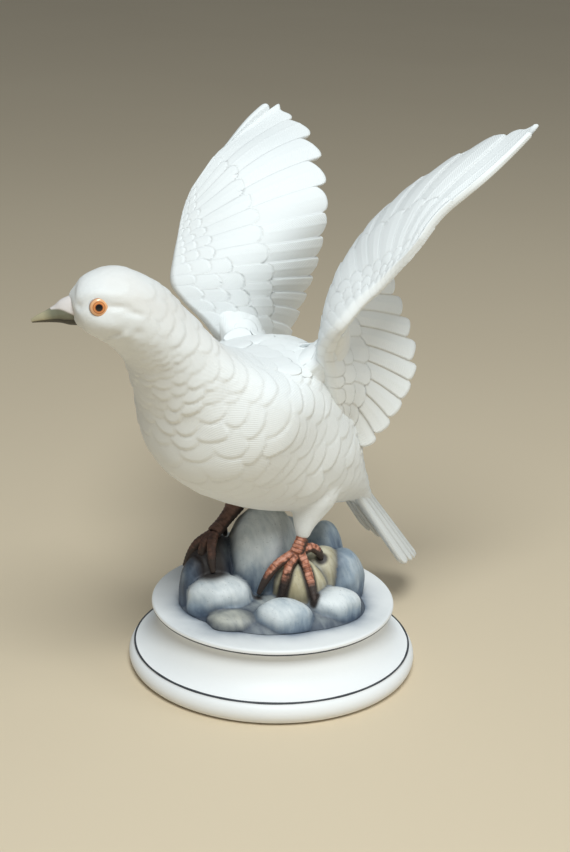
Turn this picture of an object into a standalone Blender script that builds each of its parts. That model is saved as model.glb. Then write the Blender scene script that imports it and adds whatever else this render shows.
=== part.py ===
"""Dove statue: a bisque porcelain dove with raised wings on a heap of rocks, on a turned round base.

Metres, +Z up, origin at the middle of the base's underside. The dove faces -Y and its left is +X.
The figure is a free form. Its pose is given in steps of FIGURE_HEIGHT / 230, which are millimetres
on a figure 230 mm high, measured from the middle of the base's top. The rocks that it stands on
are shares of the base's disc and of the figure's height.
"""

import bpy
import math
import numpy as np

# driving sizes of the base
BASE_DIAMETER = 0.1425
RIM_HEIGHT = 0.0115
BASE_HEIGHT = 0.0340
DISC_DIAMETER = 0.1200
DISC_THICKNESS = 0.0030
WAIST_DIAMETER = 0.1110
EDGE_ROUND = 0.0012
BASE_SIDES = 32

# driving sizes of the figure
FIGURE_HEIGHT = 0.2300
STEP = FIGURE_HEIGHT / 230
SEAT_GAP = 0.0003
SEAT = BASE_HEIGHT + SEAT_GAP

# body feathers
FEATHERS_ROUND = 15
FEATHER_ROWS = 11
FEATHER_LIFT = 1.3
FEATHER_POINT = 0.42
FEATHERS_START = 0.10
STEP_EDGE = 0.10
SIDE_LIFT = 0.55
BELLY_LIFT = 0.35
BELLY_LEVEL = -0.6
SPINE_POINTS = 160
HEAD_RINGS = 7

# wings, tail and feet
WING_FEATHERS = 18
WING_THICKNESS = 4.2
WING_EDGE = 1.5
TAIL_FEATHERS = 8
TAIL_THICKNESS = 3.4
TAIL_TAPER = 0.45
TIP_PLACE = 0.94
TIP_NOTCH = 0.045
COVERT_NOTCH = 0.02
RIDGE_LIFT = 0.35
TOE_RADIUS = 2.6
LEG_RADIUS = 3.2

# the body along its spine from the rump to the face: x, y, z, half width, height above, depth below
SPINE = [
    (0, 71, 30, 7, 4, 4),
    (0, 58, 42, 16, 9, 8),
    (0, 38, 58, 26, 21, 19),
    (0, 13, 76, 33, 35, 33.5),
    (0, -14, 96, 37, 42.5, 42),
    (0, -42, 116, 40.5, 23, 42),
    (0, -64, 134, 28, 16, 25.5),
    (0, -80, 149, 21, 17, 17),
    (-1, -94, 161, 18.3, 18.7, 14.8),
    (-3, -105, 170, 17, 17.3, 16),
    (-7, -111.5, 171.5, 15.4, 14, 15.5),
    (-12, -115.5, 170, 12, 10.4, 12.7),
    (-15.5, -118, 168, 6, 6.5, 8),
]
NECK_END = 0.72

# one wing, left side: front edge, middle and feather tips of 15 feather lines from the flank to the wing tip
WING_LINES = [
    ((22, 12, 92), (18, 24, 86), (14, 36, 70)),
    ((28, 4, 104), (26, 22, 95), (28, 30, 79)),
    ((31, -2, 116), (30, 22, 108), (36, 39, 90)),
    ((34, -7, 127), (30, 23, 120), (40, 49, 103)),
    ((38, -13, 137), (28, 20, 134), (40, 56, 118)),
    ((46, -18, 146), (26, 15, 147), (34, 58, 135)),
    ((53, -19, 154), (25, 12, 158), (26, 56, 152)),
    ((58, -12, 164), (26, 14, 169), (21, 55, 167)),
    ((62, -5, 171), (30, 19, 179), (18, 55, 182)),
    ((65, 1, 178), (36, 24, 188), (23, 60, 194)),
    ((67.5, 7, 184), (45, 32, 198), (35, 71, 207)),
    ((69.5, 13, 190), (56, 41, 207), (51, 81, 218)),
    ((71.5, 19, 196), (67, 49, 212), (66, 90, 226)),
    ((73.5, 25, 201), (75, 53, 214), (77, 92, 230)),
    ((75, 31, 205), (79, 54, 217), (81, 78, 229)),
]
# how far the outer tips are raised on the left wing and lowered on the right one
TIP_LIFTS = {1: 6, -1: -7}
# where the rows of coverts end, as shares of a feather line, and how far each row stands off
COVERT_ROWS = [(0.20, 0.8), (0.40, 0.9), (0.60, 1.1)]

# the tail: middle line from the rump to the tips, spread and droop of its edges
TAIL_ROOT = (0, 48, 58)
TAIL_TIP = (0, 118, -15)
TAIL_HALF_WIDTHS = (12, 20)
TAIL_DROOPS = (10, 17)
TAIL_SHORTENING = 22

# upper arms, legs and toes as paths: x, y, z and the radius there in shares of the limb's own radius
ARM_RADIUS = 10
ARM_FLATNESS = 0.6
ARM = [(12, -6, 106, 1.7), (20, 0, 120, 1.6), (28, 3, 132, 1.3), (35, -1, 142, 0.95), (44, -9, 150, 0.45)]
LEGS = [
    [(17, 10, 66, 4.2), (18, 6, 56, 3.3), (18, 1, 44, 1.7), (18, 0, 37, 1.05), (18, -4, 30, 1.1)],
    [(-18, 0, 66, 4.2), (-18.5, -3, 55, 2.8), (-19, -9, 45, 1.4), (-20, -15, 39, 1.05), (-20, -22, 35, 1.1)],
]
TOES = [
    [(18, -3, 30, 1.1), (17.5, -9, 24, 1.0), (17, -11, 17, 0.9), (16, -12, 9, 0.5)],
    [(17, -4, 30, 1.1), (13, -13, 25, 1.0), (10, -17, 18, 0.9), (7, -19, 10, 0.5)],
    [(19, -3, 30, 1.1), (23, -3, 24, 1.0), (27, -4, 17, 0.9), (32, -6, 9, 0.5)],
    [(18, -2, 30, 1.1), (20, 4, 31, 1.0), (21.5, 8, 28, 0.9), (22, 10, 24, 0.5)],
    [(-20, -23, 35, 1.1), (-21, -28, 30, 1.0), (-21.5, -29, 24, 0.9), (-22, -30, 17, 0.5)],
    [(-20, -23, 35, 1.1), (-25, -28, 30, 1.0), (-28, -30, 24, 0.9), (-31, -31, 17, 0.5)],
    [(-19, -23, 35, 1.1), (-16, -28, 31, 1.0), (-14, -30, 25, 0.9), (-12, -31, 19, 0.5)],
    [(-20, -22, 35, 1.1), (-23, -15, 34, 1.0), (-25, -10, 32, 0.9), (-27, -6, 27, 0.5)],
]

# rocks: middle on the disc in shares of its radius, half sizes in steps, height of the middle, turn
ROCKS = [
    ((-0.10, -0.02), (17, 19, 27), 21, 20),
    ((-0.36, -0.34), (13, 15, 20), 12, 10),
    ((-0.12, -0.52), (16, 11, 11), 8, 40),
    ((-0.37, -0.55), (7.5, 8, 17), 8, 30),
    ((0.14, -0.62), (13, 8, 5), 2, 40),
    ((0.44, -0.36), (14, 9, 10.5), 5, 40),
    ((0.27, -0.02), (15, 10.5, 16), 10, 10),
    ((0.30, 0.26), (12, 12, 16), 11, 0),
    ((0.60, 0.07), (13, 10, 11), 6, 60),
    ((0.40, 0.40), (11, 13, 16), 9, 20),
    ((0.14, 0.48), (11, 11, 26), 8, 0),
    ((-0.24, 0.40), (17, 15, 22), 9, 70),
    ((-0.58, 0.02), (13, 15, 17), 6, 0),
]
# how uneven a rock is, and how far its underside spreads out to a skirt
ROCK_SWELL = 0.08
ROCK_CORE = 0.3
ROCK_SKIRT = 0.8
APRON_SHARE = 0.74
APRON_HEIGHT = 7.5
# the mound's profile from its foot inwards: shares of its radius and height
APRON_PROFILE = ((1.0, 0.0), (0.94, 0.4), (0.8, 0.75), (0.5, 1.0))

# head
EYE_PLACES = [(2.5, -119.5, 173), (-15.5, -99.5, 173)]
EYE_RADIUS = 4.6
BEAK = [
    (-12, -115.5, 169, 9),
    (-17, -119.5, 167.4, 7.3),
    (-20, -121.8, 166.2, 5.0),
    (-23, -124, 165, 3.5),
    (-26, -126.3, 163.8, 2.3),
    (-29, -128.5, 162.4, 1.0),
]
BEAK_WIDTH = 0.65

PORCELAIN = (0.87, 0.88, 0.88, 1.0)


def clear_scene():
    """Removes whatever the file held."""
    for thing in list(bpy.data.objects):
        bpy.data.objects.remove(thing, do_unlink=True)


def smooth_path(points, count):
    """Returns count points on a smooth curve through the given ones."""
    points = np.array(points, float)
    last = len(points) - 1
    places = np.linspace(0, last, count)
    index = np.clip(places.astype(int), 0, last - 1)
    share = (places - index)[:, None]
    padded = np.vstack([2 * points[0] - points[1], points, 2 * points[-1] - points[-2]])
    before, start, end, after = (padded[index + shift] for shift in range(4))
    return 0.5 * (
        2 * start
        + (end - before) * share
        + (2 * before - 5 * start + 4 * end - after) * share**2
        + (3 * start - before - 3 * end + after) * share**3
    )


def move_to(thing, collection):
    """Puts a new primitive in the given collection only."""
    for holder in list(thing.users_collection):
        holder.objects.unlink(thing)
    collection.objects.link(thing)


def make_material(name, colour, roughness):
    """Returns a plain Principled material."""
    material = bpy.data.materials.new(name)
    material.use_nodes = True
    shader = material.node_tree.nodes["Principled BSDF"]
    shader.inputs["Base Color"].default_value = colour
    shader.inputs["Roughness"].default_value = roughness
    return material


def make_object(name, points, faces, collection, in_steps=True):
    """Makes a mesh object; points in steps are measured from the base's top."""
    points = np.array(points, float)
    if in_steps:
        points = points * STEP + np.array([0, 0, SEAT])
    mesh = bpy.data.meshes.new(name)
    mesh.from_pydata([tuple(point) for point in points], [], faces)
    mesh.update()
    thing = bpy.data.objects.new(name, mesh)
    collection.objects.link(thing)
    return thing


def ring_faces(rings, sides):
    """Returns the faces of a loft of rings, closed at both ends by one flat face each."""
    faces = []
    for ring in range(rings - 1):
        for side in range(sides):
            beside = (side + 1) % sides
            low = ring * sides
            high = low + sides
            faces.append((low + side, low + beside, high + beside, high + side))
    faces.append(tuple(range(sides))[::-1])
    faces.append(tuple(range((rings - 1) * sides, rings * sides)))
    return faces


def sideways_and_up(directions):
    """Returns the level side vector and the upward vector across each direction."""
    side = np.cross(np.array([0, 0, 1.0]), directions)
    side /= np.linalg.norm(side, axis=1)[:, None]
    return side, np.cross(directions, side)


def body_frames(count):
    """Returns the smooth spine with its side and up vectors, and the distance run in body radii."""
    spine = smooth_path(SPINE, count)
    steps = np.gradient(spine[:, :3], axis=0)
    lengths = np.linalg.norm(steps, axis=1)
    side, up = sideways_and_up(steps / lengths[:, None])
    run = np.concatenate([[0], np.cumsum(lengths[1:] / spine[1:, 3])])
    return spine, side, up, run


def body_point(frames, run_place, angle, relief):
    """Returns the body's surface point at a place along the spine and an angle round it."""
    spine, side, up, run = frames
    place = np.interp(run_place, run, np.arange(len(run)))
    index = min(int(place), len(run) - 2)
    share = place - index
    row = spine[index] * (1 - share) + spine[index + 1] * share
    across = side[index] * (1 - share) + side[index + 1] * share
    upward = up[index] * (1 - share) + up[index + 1] * share
    half_height = row[4] if math.sin(angle) > 0 else row[5]
    return (
        row[:3]
        + across * (row[3] + relief) * math.cos(angle)
        + upward * (half_height + relief) * math.sin(angle)
    )


def body_solid(collection):
    """The body, neck and head as one loft with scalloped rows of feathers up to the neck."""
    frames = body_frames(SPINE_POINTS)
    run = frames[3]
    sides = 2 * FEATHERS_ROUND
    first = FEATHERS_START * run[-1]
    row_step = (NECK_END * run[-1] - first) / FEATHER_ROWS
    rings = [[body_point(frames, 0, 2 * math.pi * n / sides, 0) for n in range(sides)]]
    for row in range(FEATHER_ROWS):
        for lifted in (False, True):
            ring = []
            for number in range(sides):
                angle = 2 * math.pi * number / sides
                middle = (number + row) % 2 == 0
                place = first + row * row_step
                place += (-FEATHER_POINT if middle else FEATHER_POINT) * row_step / 2
                place += (STEP_EDGE if lifted else -STEP_EDGE) * row_step
                belly = BELLY_LIFT if math.sin(angle) < BELLY_LEVEL else 1.0
                relief = FEATHER_LIFT * belly * (1.0 if middle else SIDE_LIFT) if lifted else 0.0
                ring.append(body_point(frames, place, angle, relief))
            rings.append(ring)
    for number in range(1, HEAD_RINGS + 1):
        place = (NECK_END + (1 - NECK_END) * number / HEAD_RINGS) * run[-1]
        rings.append([body_point(frames, place, 2 * math.pi * n / sides, 0) for n in range(sides)])
    points = [point for ring in rings for point in ring]
    return make_object("body_and_head", points, ring_faces(len(rings), sides), collection)


def tube_solid(name, path, radius, sides, rings, collection, flatness=1.0):
    """A tapering limb along a path whose fourth value is its radius in shares of radius."""
    smooth = smooth_path(path, rings)
    directions = np.gradient(smooth[:, :3], axis=0)
    directions /= np.linalg.norm(directions, axis=1)[:, None]
    seed = np.array([1.0, 0.2, 0.1])
    across = np.cross(directions, seed)
    across /= np.linalg.norm(across, axis=1)[:, None]
    other = np.cross(directions, across)
    points = []
    for place, one, two in zip(smooth, across, other):
        for number in range(sides):
            angle = 2 * math.pi * number / sides
            offset = one * math.cos(angle) + two * math.sin(angle) * flatness
            points.append(place[:3] + offset * place[3] * radius)
    return make_object(name, points, ring_faces(rings, sides), collection)


def sheet_solid(name, upper, lower, collection):
    """A closed solid between two grids of the same shape, joined along their four edges."""
    rows, columns = upper.shape[:2]
    points = np.vstack([upper.reshape(-1, 3), lower.reshape(-1, 3)])
    under = rows * columns
    faces = []
    for row in range(rows - 1):
        for column in range(columns - 1):
            corner = row * columns + column
            quad = (corner, corner + 1, corner + columns + 1, corner + columns)
            faces.append(quad)
            faces.append(tuple(under + n for n in quad[::-1]))
    outline = [column for column in range(columns)]
    outline += [row * columns + columns - 1 for row in range(1, rows)]
    outline += [(rows - 1) * columns + column for column in range(columns - 2, -1, -1)]
    outline += [row * columns for row in range(rows - 2, 0, -1)]
    for here, there in zip(outline, outline[1:] + outline[:1]):
        faces.append((here, under + here, under + there, there))
    return make_object(name, points, faces, collection)


def grid_normals(grid):
    """Returns the unit normals of a grid of points."""
    across = np.gradient(grid, axis=1)
    along = np.gradient(grid, axis=0)
    normals = np.cross(across, along)
    return normals / np.maximum(np.linalg.norm(normals, axis=2), 1e-9)[..., None]


def wing_rows():
    """Returns the places of the wing's grid lines along a feather, and the relief of each."""
    rows = [(0.0, 0.0)]
    start = 0.0
    for end, lift in COVERT_ROWS:
        rows.append((end - 0.03 if end > 0.1 else end, lift))
        rows.append((end, 0.0))
        start = end
    rows.append(((start + 1) / 2, 0.35))
    rows.append((TIP_PLACE, 0.5))
    rows.append((1.0, 0.3))
    return rows


def wing_solid(side, collection):
    """One cupped wing: rows of coverts and a fan of flight feathers with rounded, stepped tips."""
    columns = 2 * WING_FEATHERS + 1
    front, middle, tips = (smooth_path([line[n] for line in WING_LINES], columns) for n in range(3))
    outward = np.linspace(0, len(WING_LINES) - 1, columns)
    raised = np.interp(outward, (9, 12, 13, 14), (0, 1, 1, 0.5)) * TIP_LIFTS[side]
    tips[:, 2] += raised
    middle[:, 2] += 0.4 * raised
    grid = []
    reliefs = []
    for number, (place, relief) in enumerate(wing_rows()):
        row = []
        relief_row = []
        for column in range(columns):
            ridge = column % 2 == 1
            along = place
            if place >= TIP_PLACE:
                along = place * (1.0 if ridge else 1 - TIP_NOTCH)
            elif relief > 0:
                along = place + (COVERT_NOTCH if ridge else -COVERT_NOTCH)
            point = (
                front[column] * (1 - along) * (1 - 2 * along)
                + middle[column] * 4 * along * (1 - along)
                + tips[column] * along * (2 * along - 1)
            )
            row.append(point)
            relief_row.append(relief + (RIDGE_LIFT if ridge else 0.0))
        grid.append(row)
        reliefs.append(relief_row)
    grid = np.array(grid)
    reliefs = np.array(reliefs)
    places = np.array([place for place, _ in wing_rows()])
    inner = np.linspace(1, 0, columns)
    half = WING_EDGE / 2 + (WING_THICKNESS / 2) * (1 - places[:, None]) * (0.5 + inner[None, :])
    half = half * np.where(places[:, None] == 0, 0.45, 1.0)
    normals = grid_normals(grid)
    normals[:, -1] = normals[:, -2]
    normals[0] = normals[1]
    upper = grid + normals * (half + reliefs)[..., None]
    lower = grid - normals * (half + reliefs * 0.5)[..., None]
    mirror = np.array([side, 1, 1])
    name = "left_wing" if side > 0 else "right_wing"
    if side > 0:
        return sheet_solid(name, upper * mirror, lower * mirror, collection)
    return sheet_solid(name, lower * mirror, upper * mirror, collection)


def tail_solid(collection):
    """The fanned, drooping tail, roof-shaped across, with long feather edges and rounded tips."""
    root = np.array(TAIL_ROOT, float)
    tip = np.array(TAIL_TIP, float)
    axis = (tip - root) / np.linalg.norm(tip - root)
    under = np.cross(np.array([1.0, 0, 0]), axis)
    if under[2] > 0:
        under = -under
    columns = 2 * TAIL_FEATHERS + 1
    places = (0.0, 0.35, 0.7, TIP_PLACE, 1.0)
    upper = []
    lower = []
    for place in places:
        upper_row = []
        lower_row = []
        for column in range(columns):
            across = 2 * column / (columns - 1) - 1
            ridge = column % 2 == 1
            reach = place * (1 - TAIL_SHORTENING / np.linalg.norm(tip - root) * across**2)
            if place >= TIP_PLACE and not ridge:
                reach -= TIP_NOTCH
            half_width = TAIL_HALF_WIDTHS[0] + (TAIL_HALF_WIDTHS[1] - TAIL_HALF_WIDTHS[0]) * place
            droop = TAIL_DROOPS[0] + (TAIL_DROOPS[1] - TAIL_DROOPS[0]) * place
            point = root + (tip - root) * reach + under * droop * across**2
            point = point + np.array([half_width * across, 0, 0])
            outward = np.array([half_width, 0, 0]) * 2 * across * droop / half_width**2 - under
            outward /= np.linalg.norm(outward)
            half = TAIL_THICKNESS / 2 * (1.0 - TAIL_TAPER * place) + (RIDGE_LIFT if ridge else 0.0)
            upper_row.append(point + outward * half)
            lower_row.append(point - outward * half)
        upper.append(upper_row)
        lower.append(lower_row)
    return sheet_solid("tail", np.array(upper), np.array(lower), collection)


def eye_solid(number, place, collection):
    """A round eye that stands a little off the head."""
    bpy.ops.mesh.primitive_ico_sphere_add(subdivisions=2, radius=EYE_RADIUS * STEP)
    eye = bpy.context.object
    eye.name = f"eye_{number}"
    eye.location = (place[0] * STEP, place[1] * STEP, place[2] * STEP + SEAT)
    move_to(eye, collection)
    return eye


def rock_solid(number, rock, collection):
    """One rounded, slightly angular rock of the heap, with its foot flat on the seat."""
    share, sizes, height, turn = rock
    bpy.ops.mesh.primitive_ico_sphere_add(subdivisions=2, radius=1.0)
    stone = bpy.context.object
    stone.name = f"rock_{number}"
    turn = math.radians(turn)
    for point in stone.data.vertices:
        place = point.co.copy()
        swell = 1 + ROCK_SWELL * math.sin(5 * place.x + number) * math.cos(4 * place.y - number)
        level = math.hypot(place.x, place.y)
        if place.z < 0 and level > ROCK_CORE:
            swell /= level**ROCK_SKIRT
        x = place.x * swell * sizes[0]
        y = place.y * swell * sizes[1]
        point.co.x = share[0] * DISC_DIAMETER / 2 + (x * math.cos(turn) - y * math.sin(turn)) * STEP
        point.co.y = share[1] * DISC_DIAMETER / 2 + (x * math.sin(turn) + y * math.cos(turn)) * STEP
        point.co.z = max(SEAT + (height + place.z * sizes[2]) * STEP, SEAT - 0.004)
    move_to(stone, collection)
    return stone


def apron_solid(collection):
    """The low mound that the rocks rise from."""
    sides = 24
    radius = APRON_SHARE * DISC_DIAMETER / 2
    rings = []
    for share, height in APRON_PROFILE:
        ring = []
        for number in range(sides):
            angle = 2 * math.pi * number / sides
            wave = 1 + 0.05 * math.sin(3 * angle + 1) + 0.03 * math.sin(5 * angle)
            reach = radius * share * wave
            ring.append((reach * math.cos(angle), reach * math.sin(angle), SEAT + height * APRON_HEIGHT * STEP))
        rings.extend(ring)
    return make_object("apron", rings, ring_faces(len(APRON_PROFILE), sides), collection, in_steps=False)


def ground_cutter(collection):
    """The block under the disc's top that trims the rocks flat; the tail hangs down behind it."""
    bpy.ops.mesh.primitive_cube_add(size=1)
    block = bpy.context.object
    block.name = "ground_cutter"
    block.scale = (DISC_DIAMETER, DISC_DIAMETER, BASE_HEIGHT)
    block.location = (0, 0, SEAT - BASE_HEIGHT / 2)
    block.hide_render = True
    block.display_type = "WIRE"
    move_to(block, collection)
    return block


def add_boolean(target, operand, operation):
    """Adds an exact Boolean with an object or a whole collection."""
    change = target.modifiers.new(operand.name, "BOOLEAN")
    change.operation = operation
    change.solver = "EXACT"
    change.use_self = operation == "UNION"
    if isinstance(operand, bpy.types.Collection):
        change.operand_type = "COLLECTION"
        change.collection = operand
    else:
        change.object = operand
    return change


def round_base(collection):
    """The turned base: rounded foot rim, hollow flare up to a waist, thin overhanging disc."""
    radius = BASE_DIAMETER / 2
    disc = DISC_DIAMETER / 2
    waist = WAIST_DIAMETER / 2
    under_disc = BASE_HEIGHT - DISC_THICKNESS
    profile = [(0, BASE_HEIGHT)]
    for angle in (90, 45, 0):
        turn = math.radians(angle)
        centre = (disc - EDGE_ROUND, BASE_HEIGHT - EDGE_ROUND)
        profile.append((centre[0] + EDGE_ROUND * math.cos(turn), centre[1] + EDGE_ROUND * math.sin(turn)))
    profile.append((disc - EDGE_ROUND, under_disc))
    profile.append((waist, under_disc - EDGE_ROUND))
    shoulder = radius - 2 * EDGE_ROUND
    for number in range(1, 5):
        share = number / 5
        sweep = math.radians(90 * share)
        reach = waist + (shoulder - waist) * (1 - math.cos(sweep))
        height = under_disc - EDGE_ROUND - (under_disc - EDGE_ROUND - RIM_HEIGHT) * math.sin(sweep)
        profile.append((reach, height))
    profile.append((shoulder, RIM_HEIGHT))
    for angle in (50, 10, -30):
        turn = math.radians(angle)
        reach = radius - RIM_HEIGHT / 2 + RIM_HEIGHT / 2 * math.cos(turn)
        profile.append((reach, RIM_HEIGHT / 2 + RIM_HEIGHT / 2 * math.sin(turn)))
    profile.append((radius - RIM_HEIGHT / 5, 0))
    profile.append((0, 0))
    points = [(reach, 0, height) for reach, height in profile]
    edges = [(n, n + 1) for n in range(len(points) - 1)]
    mesh = bpy.data.meshes.new("round_base")
    mesh.from_pydata(points, edges, [])
    base = bpy.data.objects.new("round_base", mesh)
    collection.objects.link(base)
    turned = base.modifiers.new("turned", "SCREW")
    turned.steps = BASE_SIDES
    turned.render_steps = BASE_SIDES
    turned.use_merge_vertices = True
    turned.merge_threshold = 0.00001
    return base


def dove_on_rocks(collection, hidden):
    """The whole casting: every form of bird and rocks joined into one solid."""
    forms = bpy.data.collections.new("dove_forms")
    hidden.children.link(forms)
    dove = body_solid(collection)
    dove.name = "dove_on_rocks"
    wing_solid(1, forms)
    wing_solid(-1, forms)
    tail_solid(forms)
    tube_solid("beak", BEAK, 1.0, 8, 6, forms, BEAK_WIDTH)
    for number, place in enumerate(EYE_PLACES):
        eye_solid(number, place, forms)
    for side in (1, -1):
        arm = [(side * x, y, z, radius) for x, y, z, radius in ARM]
        tube_solid(f"arm_{side}", arm, ARM_RADIUS, 10, 5, forms, ARM_FLATNESS)
    for number, leg in enumerate(LEGS):
        tube_solid(f"leg_{number}", leg, LEG_RADIUS, 8, 7, forms)
    for number, toe in enumerate(TOES):
        tube_solid(f"toe_{number}", toe, TOE_RADIUS, 5, 5, forms)
    for number, rock in enumerate(ROCKS):
        rock_solid(number, rock, forms)
    apron_solid(forms)
    for form in forms.objects:
        form.hide_render = True
        form.display_type = "WIRE"
    add_boolean(dove, forms, "UNION")
    add_boolean(dove, ground_cutter(hidden), "DIFFERENCE")
    return dove


def main():
    """Builds the two castings."""
    clear_scene()
    parts = bpy.data.collections.new("dove_statue")
    hidden = bpy.data.collections.new("cutters")
    bpy.context.scene.collection.children.link(parts)
    bpy.context.scene.collection.children.link(hidden)
    base = round_base(parts)
    dove = dove_on_rocks(parts, hidden)
    for thing in (base, dove):
        thing.data.materials.append(make_material(f"{thing.name}_bisque", PORCELAIN, 0.6))
        thing.data.shade_smooth()
        thing.data.set_sharp_from_angle(angle=math.radians(35))


main()
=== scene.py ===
"""Looks of the dove statue: matte bisque porcelain, feather relief, painted eyes, beak, feet and rocks.

The pose is the CAD's, in steps of one millimetre measured from the middle of the base's top.
The dove faces -Y and its left side is +X.
"""

import bpy
import math
import numpy as np
from mathutils import Matrix, Vector, noise
from mathutils.bvhtree import BVHTree
from mathutils.kdtree import KDTree


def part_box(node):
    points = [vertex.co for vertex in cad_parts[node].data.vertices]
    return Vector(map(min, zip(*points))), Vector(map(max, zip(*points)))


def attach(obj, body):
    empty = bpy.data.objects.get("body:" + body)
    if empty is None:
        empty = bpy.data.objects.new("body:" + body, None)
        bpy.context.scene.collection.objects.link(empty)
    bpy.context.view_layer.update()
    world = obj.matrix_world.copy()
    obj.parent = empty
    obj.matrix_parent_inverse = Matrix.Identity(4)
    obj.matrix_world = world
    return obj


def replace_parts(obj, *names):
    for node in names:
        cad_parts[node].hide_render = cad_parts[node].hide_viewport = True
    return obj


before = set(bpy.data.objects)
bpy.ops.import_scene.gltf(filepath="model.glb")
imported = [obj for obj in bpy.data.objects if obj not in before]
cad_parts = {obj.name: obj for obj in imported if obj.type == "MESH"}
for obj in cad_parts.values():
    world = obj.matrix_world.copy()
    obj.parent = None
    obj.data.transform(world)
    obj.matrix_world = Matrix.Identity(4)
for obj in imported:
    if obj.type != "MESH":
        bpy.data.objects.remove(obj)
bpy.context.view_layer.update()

# the pose's step in metres, and the height it counts up from, a hair over the base's top
STEP = 0.001
DISC_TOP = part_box("round_base")[1].z
SEAT = DISC_TOP + 0.0003

# the turned base, in metres, and its painted lines, in steps
BASE_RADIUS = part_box("round_base")[1].x
DISC_RADIUS = 0.0600
DISC_THICKNESS = 0.0030
WAIST_RADIUS = 0.0555
RIM_HEIGHT = 0.0115
EDGE_ROUNDING = 0.0012
BASE_SIDES = 192
LINE_WIDTH = 1.9
DISC_LINE_SHARE = 0.68
DISC_LINE_ROW = 32
STAIN_REACH = 4.5

# the body along its spine from the rump to the face: x, y, z, half width, height above, depth below
SPINE = [
    (0, 71, 30, 5, 3, 3),
    (0, 58, 42, 12.5, 6.5, 7),
    (0, 38, 58, 24, 14.5, 18.5),
    (0, 13, 76, 33, 35, 33.5),
    (0, -14, 96, 37, 42.5, 42),
    (0, -42, 116, 40.5, 23, 42),
    (0, -64, 134, 28, 16, 25.5),
    (0, -80, 149, 21, 17, 17),
    (-1, -94, 161, 18.3, 18.7, 14.8),
    (-3, -105, 170, 17, 16.7, 16),
    (-7, -111.5, 171.5, 15.4, 14, 15.5),
    (-12, -115.5, 170, 12, 10.4, 12.7),
    (-15.5, -118, 168, 6, 6.5, 8),
]
BODY_RINGS = 430
BODY_SIDES = 120
SKIN_GRAIN = 0.00084
SKIN_ROUNDS = 14
FEATHERS_ROUND = 14
NAPE_FEATHERS_ROUND = 11
# how far a feather row wavers, and the barbs' UV scale round and along the body
ROW_WAVER = 0.45
BARB_SCALE = (240, 38)
# depth of the body's feather rows in body radii at shares of the spine, and how far the feathers stand up
ROW_PLACES = (0.0, 0.45, 0.60, 0.75, 1.0)
FRONT_DEPTHS = (0.26, 0.26, 0.21, 0.20, 0.20)
NAPE_DEPTHS = (0.26, 0.26, 0.27, 0.34, 0.34)
LIFT_PLACES = (0.0, 0.45, 0.62, 0.74, 0.84, 0.90, 0.95)
LIFTS = (1.3, 1.6, 1.35, 1.0, 0.6, 0.2, 0.0)
# soft forms of the face: share of the spine, angle from the side, half length, half angle, height in steps
FACE_FORMS = [
    (0.957, 62, 0.024, 42, -1.6),
    (0.997, 50, 0.030, 50, -2.2),
    (0.992, 0, 0.024, 32, -1.4),
    (0.906, 7, 0.013, 13, -0.9),
    (0.908, 31, 0.016, 10, 0.9),
    (0.885, 26, 0.016, 9, 0.7),
    (0.936, 12, 0.012, 10, -1.0),
    (0.884, 9, 0.014, 5, -0.9),
    (0.862, 3, 0.014, 5, -0.8),
    (0.895, -21, 0.022, 13, 0.7),
    (0.868, -40, 0.014, 7, -0.8),
    (0.850, -34, 0.010, 9, 0.8),
    (0.836, -22, 0.009, 8, -0.6),
]

# one wing, left side: front edge, middle and feather tips of its feather lines from the flank to the wing tip
WING_LINES = [
    ((22, 12, 92), (18, 24, 85), (15, 35, 66)),
    ((28, 4, 104), (26, 22, 94), (29, 30, 75)),
    ((31, -2, 116), (30, 22, 108), (36.5, 39, 88)),
    ((34, -7, 127), (30, 23, 120), (40, 49, 103)),
    ((38, -13, 137), (28, 20, 134), (40, 56, 118)),
    ((46, -18, 146), (26, 15, 147), (34, 58, 135)),
    ((53, -19, 154), (25, 12, 158), (26, 56, 152)),
    ((58, -12, 164), (26, 14, 169), (21, 55, 167)),
    ((62, -5, 171), (30, 19, 179), (18, 55, 182)),
    ((65, 1, 178), (36, 24, 188), (23, 60, 194)),
    ((67.5, 7, 184), (45, 32, 198), (35, 71, 207)),
    ((69.5, 13, 190), (56, 41, 207), (51, 81, 218)),
    ((71.5, 19, 196), (67, 49, 212), (66, 90, 226)),
    ((73.5, 25, 201), (75, 53, 214), (77, 92, 230)),
    ((75, 31, 205), (79, 54, 217), (81, 78, 229)),
]
WING_ENDS = 14
TIP_LIFTS = {1: 6, -1: -7}
# past the wrist the feathers first run along the hand, whose line goes out by this share
WRIST_LINE = 6.0
HAND_SHARE = 0.5
# edges of the flight feathers, counted in feather lines from the flank
FLIGHT_EDGES = [
    0, 1.05, 1.6, 2.2, 2.8, 3.4, 3.95, 4.6, 5.2, 5.8, 6.5, 7.25, 8.1, 9.1, 10.05, 10.95, 12.1, 13.45,
    WING_ENDS,
]
WING_ROWS = 150
WING_COLUMNS = 280
WING_HALF_THICKNESS = 0.55
ROOT_SWELL = 2.6

# shoulder feathers: rows, how far they climb from the back and how far apart they are
SHOULDER_ROWS = 9
SHOULDER_REACH = 27.0
SHOULDER_SPACING = 6.5
# the Geometry Nodes feather's inputs, in metres and radians
PLATE_SEED = 5
PLATE_SIZES = {"Length": 0.0170, "Width": 0.0125, "Thickness": 0.0012, "Camber": 0.002, "Tilt": 0.03}
# how far a shoulder feather stands off the skin in its middle, and its tip above that, in metres
PLATE_LIFTS = (0.00005, 0.00045)

# the tail: middle line from the rump to the tips, spread and droop of its edges
TAIL_ROOT = (0, 50, 58)
TAIL_TIP = (0, 114.5, -12)
TAIL_HALF_WIDTHS = (12, 18)
TAIL_DROOPS = (11, 18)
TAIL_SHORTENING = 27
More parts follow.
